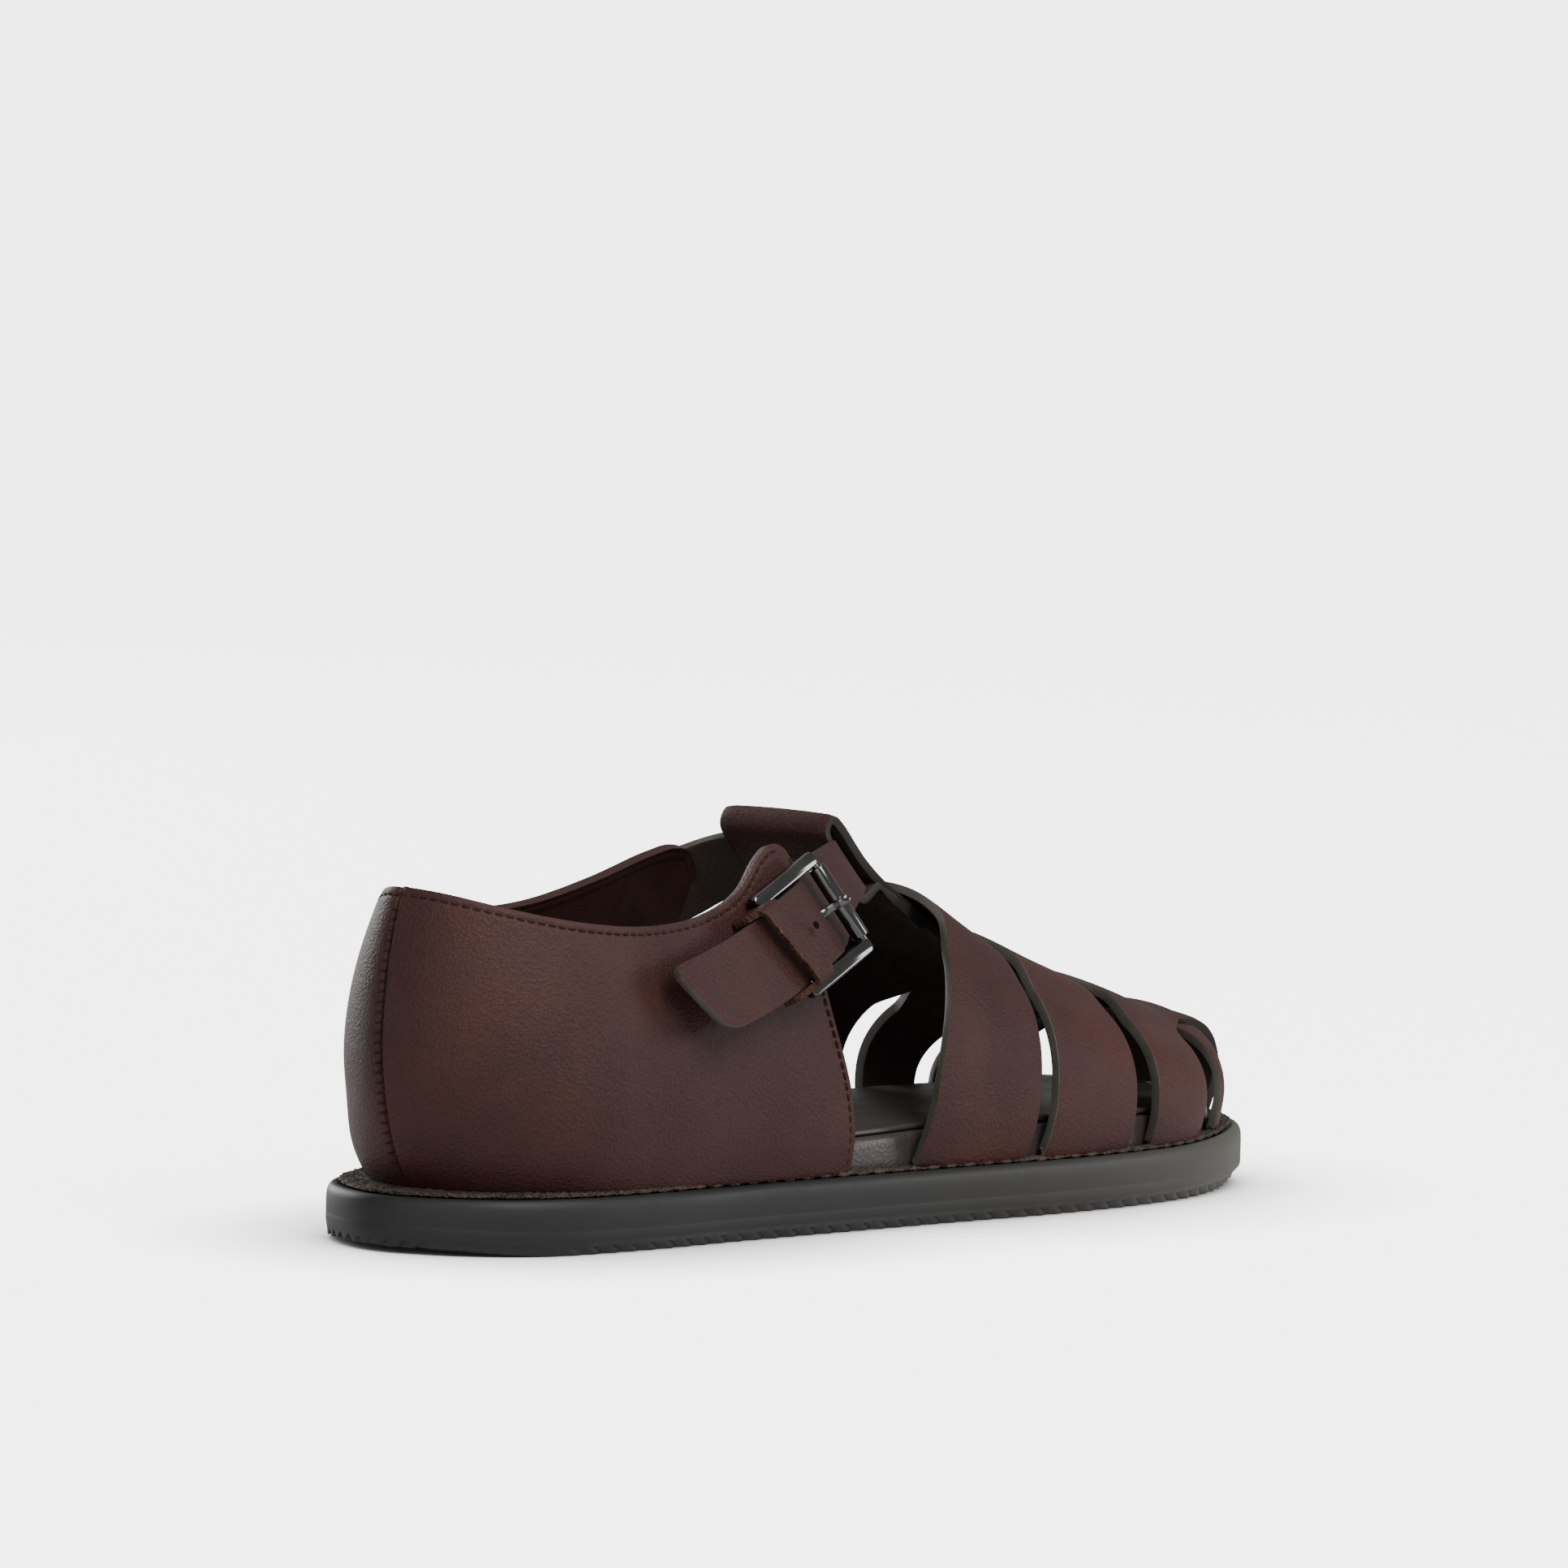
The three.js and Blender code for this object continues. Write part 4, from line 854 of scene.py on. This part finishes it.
def vampPoint(line, across):  # across is -1 at the lateral foot, 0 at the crest, 1 at the medial foot
    side = "lateral" if across < 0 else "medial"
    reach = abs(across)
    cx = readRow(vamp["line"], vamp["crest"], line)
    bx = readRow(vamp["line"], vamp["base"], line)
    cz = readRow(crestX, crestZ, cx) - vamp["thickness"] / 2
    baseHalf = abs(footY(side, bx)) - vamp["thickness"]
    bz = sole["upperBase"] + springAt(bx, sole["rim"])
    wide = lerp(bz, cz, vamp["widest"])
    tuck = readRow(vamp["line"], vamp["tuck"], line)
    power = 2 / readRow(vamp["line"], vamp["shoulder"], line)
    half = baseHalf + tuck
    lean = ((1 + math.cos(math.pi * reach)) / 2) ** vamp["lean"]
    if reach < vamp["upperArc"]:
        angle = reach / vamp["upperArc"] * math.pi / 2
        y = half * math.sin(angle) ** power
        z = wide + (cz - wide) * max(0, math.cos(angle)) ** power
    else:
        down = (reach - vamp["upperArc"]) / (1 - vamp["upperArc"])
        y = half - tuck * down * down
        z = lerp(wide, bz, down)
    return Vector((lerp(bx, cx, lean), math.copysign(y, across), z))


def vampOffset(line, across, lift):
    step = 0.01
    inside = max(step - 1, min(1 - step, across))
    run = vampPoint(line + step, inside) - vampPoint(line - step, inside)
    over = vampPoint(line, inside + step) - vampPoint(line, inside - step)
    p = vampPoint(line, across) + run.cross(over).normalized() * lift
    p.z = max(p.z, sole["upperBase"] + springAt(p.x, sole["rim"]))
    return p


for strapNumber, strapName in enumerate(crossStraps):
    rearBase, rearCrest, frontBase, frontCrest, rearLift, frontLift = crossStraps[strapName]

    def strapPlace(u, v):
        across = v * 2 - 1
        reach = abs(across)
        gap = parting["lateral" if across < 0 else "medial"]
        rearOpen = ease((reach - gap["rear"][strapNumber]) / gap["rearGrowth"][strapNumber])
        frontOpen = ease((reach - gap["front"][strapNumber]) / gap["frontGrowth"][strapNumber])
        rear = lerp(rearCrest, rearBase + gap["rearShift"][strapNumber], rearOpen)
        front = lerp(frontCrest, frontBase + gap["frontShift"][strapNumber], frontOpen)
        line = lerp(rear, front, u)
        fadeStart, fadeRun = riseFade[strapName]
        lift = lerp(rearLift, frontLift, u) * (1 - ease((reach - fadeStart) / fadeRun)) + vamp["thickness"]
        lift += vamp["pillow"] * (1 - abs(2 * u - 1) ** 4) - vamp["sink"]
        return vampOffset(line, across, lift)

    strap = sheet(strapName, 26, 150, strapPlace)
    thicken(strap, vamp["walls"][strapNumber], vamp["softness"], inner=1, rim=2)
    dress(strap, "upper_leather", upperLeather, strapUnderside, edgePaint)
print("vamp made")

# ankle strap, keeper and tab

buckle = {
    "center": (-44.6, -36.85, 71.8), "along": (0.905, 0.101, 0.404), "outward": (-0.074, -0.913, 0.391),
    "reach": 10.6, "width": 28, "barWidth": 3.6, "barThickness": 3.2, "pinHeight": 5.4, "backHeight": 3.2,
    "pinRadius": 1.1, "backRadius": 1.2, "rodRim": 0.2, "rollerRadius": 2.1, "rollerLength": 19.6,
    "rollerRim": 0.35, "frontTrim": 1, "corner": 1.4, "edge": 0.6,
}
along = Vector(buckle["along"]).normalized()
acrossBuckle = Vector(buckle["outward"]).cross(along).normalized()
outward = along.cross(acrossBuckle).normalized()
buckleAxes = Matrix((along, acrossBuckle, outward)).transposed()


def onBuckle(run, side, height):
    return Vector(buckle["center"]) + along * run + acrossBuckle * side + outward * height


ankle = {
    "upper": [
        (-30, 33.8, 79), (-11, 30.6, 85.6), (-7.2, 17, 90.1), (-7, 0, 90.8), (-7, -15.6, 90.2),
        (-15, -21, 90.4), (-26.5, -26, 88.6),
    ],
    "lower": [
        (-21, 39.6, 61.5), (0, 35, 69), (5, 17.5, 78.1), (5, 0, 79.3), (3, -16.3, 78.8),
        (-8.4, -26.8, 78.7), (-20.6, -34.1, 75),
    ],
    "runs": [
        (10.6, 1.9, 0), (7.5, 3.5, 0), (4.5, 5.8, 0), (1.5, 7, 0), (-3, 7.3, 0), (-11, 7.3, 0),
        (-19, 7.2, 0), (-33, 7.2, 1.4), (-50, 8.4, 4.6),
    ],
    "half": 9.8, "thickness": 2.0, "corner": 4.0, "turnFrom": 0.94, "slant": 0.022, "slantFrom": 0.7,
    "length": 215, "pillow": 0.1, "softness": 0.55, "holes": [-3.3], "holeRadius": 0.95, "holeLift": 0.2,
}
upperEdge = [Vector(p) for p in ankle["upper"]]
lowerEdge = [Vector(p) for p in ankle["lower"]]
for r, h, s in ankle["runs"]:
    upperEdge.append(onBuckle(r, s + ankle["half"], h))
    lowerEdge.append(onBuckle(r, s - ankle["half"], h))


def anklePoint(s, v, lift):
    up, upRun = knotCurve(upperEdge, s, False)
    low, lowRun = knotCurve(lowerEdge, s, False)
    normal = (upRun + lowRun).cross(up - low).normalized()
    return low.lerp(up, v) + normal * lift


def anklePlace(u, v):
    body = 1 - ankle["corner"] / ankle["length"]  # the last rows turn round the tail's corners
    if u < ankle["turnFrom"]:
        end, inset = body * u / ankle["turnFrom"], 0.0
    else:
        a = (u - ankle["turnFrom"]) / (1 - ankle["turnFrom"]) * math.pi / 2
        end = 1 - ankle["corner"] / ankle["length"] * (1 - math.sin(a))
        inset = ankle["corner"] * (1 - math.cos(a)) / (2 * ankle["half"])
    across = lerp(inset, 1 - inset, v)
    tail = ease((end - ankle["slantFrom"]) / (1 - ankle["slantFrom"]))
    s = end * (1 - ankle["slant"] * (1 - across) * tail)
    lift = ankle["thickness"] / 2 + ankle["pillow"] * (1 - abs(2 * across - 1) ** 4)
    return anklePoint(s, across, lift)


ankleStrap = sheet("ankleStrap", 200, 16, anklePlace, flip=True)
thicken(ankleStrap, ankle["thickness"], ankle["softness"], inner=1, rim=2)
dress(ankleStrap, "upper_leather", upperLeather, strapUnderside, edgePaint)
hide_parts("ankle_strap")

# each punched hole is a near-black disc lying just over the strap: painted shade in place of the hole's depth
holeBm = bmesh.new()
for run in ankle["holes"]:
    height = readRow([-r for r, h, w in ankle["runs"]], [h for r, h, w in ankle["runs"]], -run)
    disc = bmesh.ops.create_circle(holeBm, cap_ends=True, segments=24, radius=ankle["holeRadius"] * mm)
    turn = buckleAxes.to_4x4()
    turn.translation = onBuckle(run, 0, height + ankle["thickness"] / 2 + ankle["holeLift"]) * mm
    bmesh.ops.transform(holeBm, matrix=turn, verts=disc["verts"])
strapHoles = keep(holeBm, "strapHoles")
dress(strapHoles, "upper_leather", holeShade)

keeper = {
    "skew": 3.6, "lean": 1.6, "leanFrom": 5, "leanRun": 4, "from": -18.8, "to": -12.6,
    "thickness": 1.5, "softness": 0.35, "foot": 0.8, "half": 11.65, "top": 10.1, "corner": 2.6,
    "ragged": 0.35, "pillow": 0.35, "columns": 120, "rows": 14,
}


def keeperPath(s):  # up one side, over the strap and down the other
    h, w, r = keeper["top"], keeper["half"], keeper["corner"]
    straight, over, arc = h - r - keeper["foot"], 2 * (w - r), r * math.pi / 2
    run = s * (2 * straight + 2 * arc + over)
    if run < straight:
        return -w, keeper["foot"] + run
    run -= straight
    if run < arc:
        a = run / r
        return -w + r - r * math.cos(a), h - r + r * math.sin(a)
    run -= arc
    if run < over:
        return -w + r + run, h
    run -= over
    if run < arc:
        a = run / r
        return w - r + r * math.sin(a), h - r + r * math.cos(a)
    return w, h - r - (run - arc)


def keeperPlace(u, v):
    side, height = keeperPath(u)
    ragged = keeper["ragged"] * noise.noise(Vector((u * 40, v * 3, 4)))
    run = lerp(keeper["from"], keeper["to"], v) + (ragged if v in (0.0, 1.0) else 0)
    skew = keeper["skew"] * (keeper["half"] - side) / (2 * keeper["half"])
    run += ease((height - keeper["leanFrom"]) / keeper["leanRun"]) * (keeper["lean"] + skew)
    return onBuckle(run, side, height + keeper["pillow"] * (1 - abs(2 * v - 1) ** 2.5))


keeperLoop = sheet("keeperLoop", keeper["columns"], keeper["rows"], keeperPlace, flip=True)
for face in keeperLoop.data.polygons:  # the cut edges show as a narrow strip on the top too
    if face.index // keeper["columns"] in (0, keeper["rows"] - 1):
        face.material_index = 2
thicken(keeperLoop, keeper["thickness"], keeper["softness"], inner=1, rim=2)
dress(keeperLoop, "upper_leather", upperLeather, strapUnderside, rawEdge)
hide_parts("keeper_loop")

tab = {"half": 8.5, "thickness": 1.2, "softness": 0.3, "lowerEnd": -30, "upperEnd": -23, "outer": 2.7}


def tabPlace(u, v):
    low, bend = -buckle["reach"] - tab["lowerEnd"], tab["outer"] * math.pi
    high = -buckle["reach"] - tab["upperEnd"]
    run = u * (low + bend + high)
    if run < low:
        x, h = tab["lowerEnd"] + run, -tab["outer"]
    elif run < low + bend:
        a = (run - low) / tab["outer"] - math.pi / 2
        x, h = -buckle["reach"] + tab["outer"] * math.cos(a), tab["outer"] * math.sin(a)
    else:
        x, h = -buckle["reach"] - (run - low - bend), tab["outer"]
    return onBuckle(x, lerp(-tab["half"], tab["half"], v), buckle["backHeight"] + h)


tabFold = sheet("buckleTabFold", 70, 10, tabPlace, flip=True)
thicken(tabFold, tab["thickness"], tab["softness"], inner=1, rim=2)
dress(tabFold, "upper_leather", upperLeather, strapUnderside, edgePaint)
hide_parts("buckle_tab")
print("ankle strap, keeper and tab made")

# buckle

buckleTurn = buckleAxes.to_4x4()
buckleTurn.translation = Vector(buckle["center"])


def toBuckle(bm):  # from the buckle's own directions into the shoe's, in metres
    bmesh.ops.transform(bm, matrix=Matrix.Scale(mm, 4) @ buckleTurn, verts=bm.verts)


def crossRod(bm, run, height, radius, length, rim):  # rod across the buckle with rounded ends
    turn = Matrix.Translation((run, 0, height)) @ Matrix.Rotation(math.pi / 2, 4, "X")
    made = bmesh.ops.create_cone(bm, cap_ends=True, segments=40, radius1=radius, radius2=radius,
                                 depth=length, matrix=turn)
    ends = {e for v in made["verts"] for e in v.link_edges if abs(abs(e.verts[0].co.y) - length / 2) < 1e-4
            and abs(e.verts[0].co.y - e.verts[1].co.y) < 1e-4}
    bmesh.ops.bevel(bm, geom=list(ends), offset=rim, affect="EDGES", segments=3, profile=0.5, material=-1)


frameBm = bmesh.new()
tilt = math.atan((buckle["pinHeight"] - buckle["backHeight"]) / (2 * buckle["reach"]))
middleHeight = (buckle["pinHeight"] + buckle["backHeight"]) / 2
barLength = 2 * buckle["reach"] + buckle["barThickness"] - buckle["frontTrim"]
rodLength = buckle["width"] - buckle["barWidth"]
for sideSign in (-1, 1):
    size = (barLength, buckle["barWidth"], buckle["barThickness"])
    place = Matrix.Translation((-buckle["frontTrim"] / 2, sideSign * rodLength / 2, middleHeight))
    place = place @ Matrix.Rotation(-tilt, 4, "Y") @ Matrix.Diagonal((*size, 1))
    bar = bmesh.ops.create_cube(frameBm, size=1, matrix=place)
    spans = {e: e.verts[0].co - e.verts[1].co for v in bar["verts"] for e in v.link_edges}
    tall = [e for e, span in spans.items() if abs(span.x) + abs(span.y) < 1]
    rounded = bmesh.ops.bevel(frameBm, geom=tall, offset=buckle["corner"], affect="EDGES",
                              segments=4, profile=0.5, material=-1)
    faces = {f for v in rounded["verts"] for f in v.link_faces}
    rims = [e for e in {e for f in faces for e in f.edges} if e.is_manifold and e.calc_face_angle() > 1]
    bmesh.ops.bevel(frameBm, geom=rims, offset=buckle["edge"], affect="EDGES",
                    segments=2, profile=0.5, material=-1)
crossRod(frameBm, buckle["reach"], buckle["pinHeight"], buckle["pinRadius"], rodLength, buckle["rodRim"])
crossRod(frameBm, -buckle["reach"], buckle["backHeight"], buckle["backRadius"], rodLength, buckle["rodRim"])
toBuckle(frameBm)
buckleFrame = keep(frameBm, "buckleBars")
buckleFrame.data.set_sharp_from_angle(angle=math.radians(28))
dress(buckleFrame, "buckle_metal", gunmetal)
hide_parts("buckle_frame")

rollerBm = bmesh.new()
crossRod(rollerBm, buckle["reach"], buckle["pinHeight"],
         buckle["rollerRadius"], buckle["rollerLength"], buckle["rollerRim"])
toBuckle(rollerBm)
buckleRoller = keep(rollerBm, "buckleRollerTube")
dress(buckleRoller, "buckle_metal", gunmetal)
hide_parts("buckle_roller")

prong = {
    "wide": 1.05, "tall": 0.75, "square": 0.6, "taper": 14,
    "path": [
        (-10.6, 5.9), (-8.8, 4.0), (-5, 2.8), (-1, 2.6), (3, 3.0), (6.4, 3.8), (8.2, 5.6), (9.2, 7.6),
        (10.4, 8.35), (11.8, 8.0),
    ],
}
prongKnots = [onBuckle(r, 0, h) for r, h in prong["path"]]


def prongPlace(u, v):
    p, d = knotCurve(prongKnots, u, False)
    d.normalize()
    side = acrossBuckle
    up = d.cross(side).normalized() * -1
    a = v * 2 * math.pi
    end = min(1.0, math.sqrt(max(0.0, (1 - u) * prong["taper"])))
    ca, sa = math.cos(a), math.sin(a)
    wide = math.copysign(abs(ca) ** prong["square"], ca) * prong["wide"] * end
    tall = math.copysign(abs(sa) ** prong["square"], sa) * prong["tall"] * end
    return p + side * wide + up * tall


buckleProng = sheet("buckleProngArm", 90, 20, prongPlace, closed=True)
dress(buckleProng, "buckle_metal", gunmetal)
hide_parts("buckle_prong")
print("buckle made")

# floor, light and camera

shot = {
    "target": (0, 0, 0.04), "turn": 49.5, "lift": 5.7, "distance": 2.92, "roll": 1.58, "lens": 281.0,
    "shift": (-0.0106, 0.1638),
}
turn, liftAngle = math.radians(shot["turn"]), math.radians(shot["lift"])
levelBack = Vector((-math.sin(turn), -math.cos(turn), 0))
backDir = levelBack * math.cos(liftAngle) + Vector((0, 0, math.sin(liftAngle)))
rightDir = Vector((math.cos(turn), -math.sin(turn), 0))
upDir = backDir.cross(rightDir)
roll = math.radians(shot["roll"])
camRight = rightDir * math.cos(roll) + upDir * math.sin(roll)
camUp = upDir * math.cos(roll) - rightDir * math.sin(roll)
target = Vector(shot["target"])
camData = bpy.data.cameras.new("photoCamera")
camData.lens = shot["lens"]
camData.sensor_width = 36
camData.shift_x, camData.shift_y = shot["shift"]
camData.clip_end = 300
camera = bpy.data.objects.new("photoCamera", camData)
pose = Matrix((camRight, camUp, backDir)).transposed().to_4x4()
pose.translation = target + backDir * shot["distance"]
camera.matrix_world = pose
bpy.context.scene.collection.objects.link(camera)
bpy.context.scene.camera = camera

floorBm = bmesh.new()
bmesh.ops.create_grid(floorBm, x_segments=2, y_segments=2, size=60)
floor = keep(floorBm, "floor")
floorLook = {
    "paint": 0.5, "roughness": 0.9, "specular": 0.1, "glow": 4.2, "mirrored": 0.35,
    "shadeReach": 0.055, "shadePower": 2.6,
}
floorMat = bpy.data.materials.new("paleFloor")
floorMat.use_nodes = True
floorTree = floorMat.node_tree
floorShader = floorTree.nodes["Principled BSDF"]
floorShader.inputs["Base Color"].default_value = (*[floorLook["paint"]] * 3, 1)
floorShader.inputs["Roughness"].default_value = floorLook["roughness"]
floorShader.inputs["Specular IOR Level"].default_value = floorLook["specular"]
floorShader.inputs["Emission Color"].default_value = (1, 1, 1, 1)
seen = floorTree.nodes.new("ShaderNodeLightPath")  # the studio's white only where the lens sees it
glow = mathNode(floorTree, "MULTIPLY")
# ambient occlusion darkens the floor's glow next to and under the shoe: a painted contact shadow
near = addNode(floorTree, "ShaderNodeAmbientOcclusion", samples=8, Distance=floorLook["shadeReach"])
deep = mathNode(floorTree, "POWER", floorLook["shadePower"])
shadedGlow = mathNode(floorTree, "MULTIPLY", floorLook["glow"])
mirrored = mathNode(floorTree, "MULTIPLY_ADD", floorLook["mirrored"])
for source, socket in (
    (near.outputs["AO"], deep.inputs[0]),
    (deep.outputs[0], shadedGlow.inputs[0]),
    (seen.outputs["Is Camera Ray"], glow.inputs[0]),
    (shadedGlow.outputs[0], glow.inputs[1]),
    (seen.outputs["Is Glossy Ray"], mirrored.inputs[0]),
    (glow.outputs[0], mirrored.inputs[2]),
    (mirrored.outputs[0], floorShader.inputs["Emission Strength"]),
):
    floorTree.links.new(source, socket)
floor.data.materials.append(floorMat)

lights = [  # right, up and back from the middle of the shoe, size and power
    ("keyRight", (0.8, 1.3, 1.2), 1.2, 32),
    ("rimLeft", (-1.1, 0.45, -1.4), 0.8, 16),
    ("leftFill", (-0.9, 0.8, 1.5), 1.0, 4.5),
    ("lowFill", (-0.3, 0.22, 1.8), 0.8, 3),
    ("toeSide", (1.5, 0.35, -0.1), 0.5, 6),
    ("topBox", (0.3, 1.6, 0.2), 1.2, 6),
]
for lightName, (r, u, b), size, power in lights:
    data = bpy.data.lights.new(lightName, "AREA")
    data.shape = "DISK"
    data.size = size
    data.energy = power
    lamp = bpy.data.objects.new(lightName, data)
    spot = target + rightDir * r + Vector((0, 0, 1)) * u + levelBack * b
    lamp.matrix_world = (target - spot).to_track_quat("-Z", "Y").to_matrix().to_4x4()
    lamp.location = spot
    bpy.context.scene.collection.objects.link(lamp)
studio = {"tint": 0.92, "plain": 0.25, "mirrored": 0.4}
world = bpy.data.worlds.new("studio")
world.use_nodes = True
worldTree = world.node_tree
walls = worldTree.nodes["Background"]
walls.inputs["Color"].default_value = (*[studio["tint"]] * 3, 1)
worldRay = worldTree.nodes.new("ShaderNodeLightPath")  # brighter walls for what the gloss sees
worldRange = rangeNode(worldTree, toMin=studio["plain"], toMax=studio["mirrored"])
worldTree.links.new(worldRay.outputs["Is Glossy Ray"], worldRange.inputs["Value"])
worldTree.links.new(worldRange.outputs["Result"], walls.inputs["Strength"])
bpy.context.scene.world = world
print("stage set")
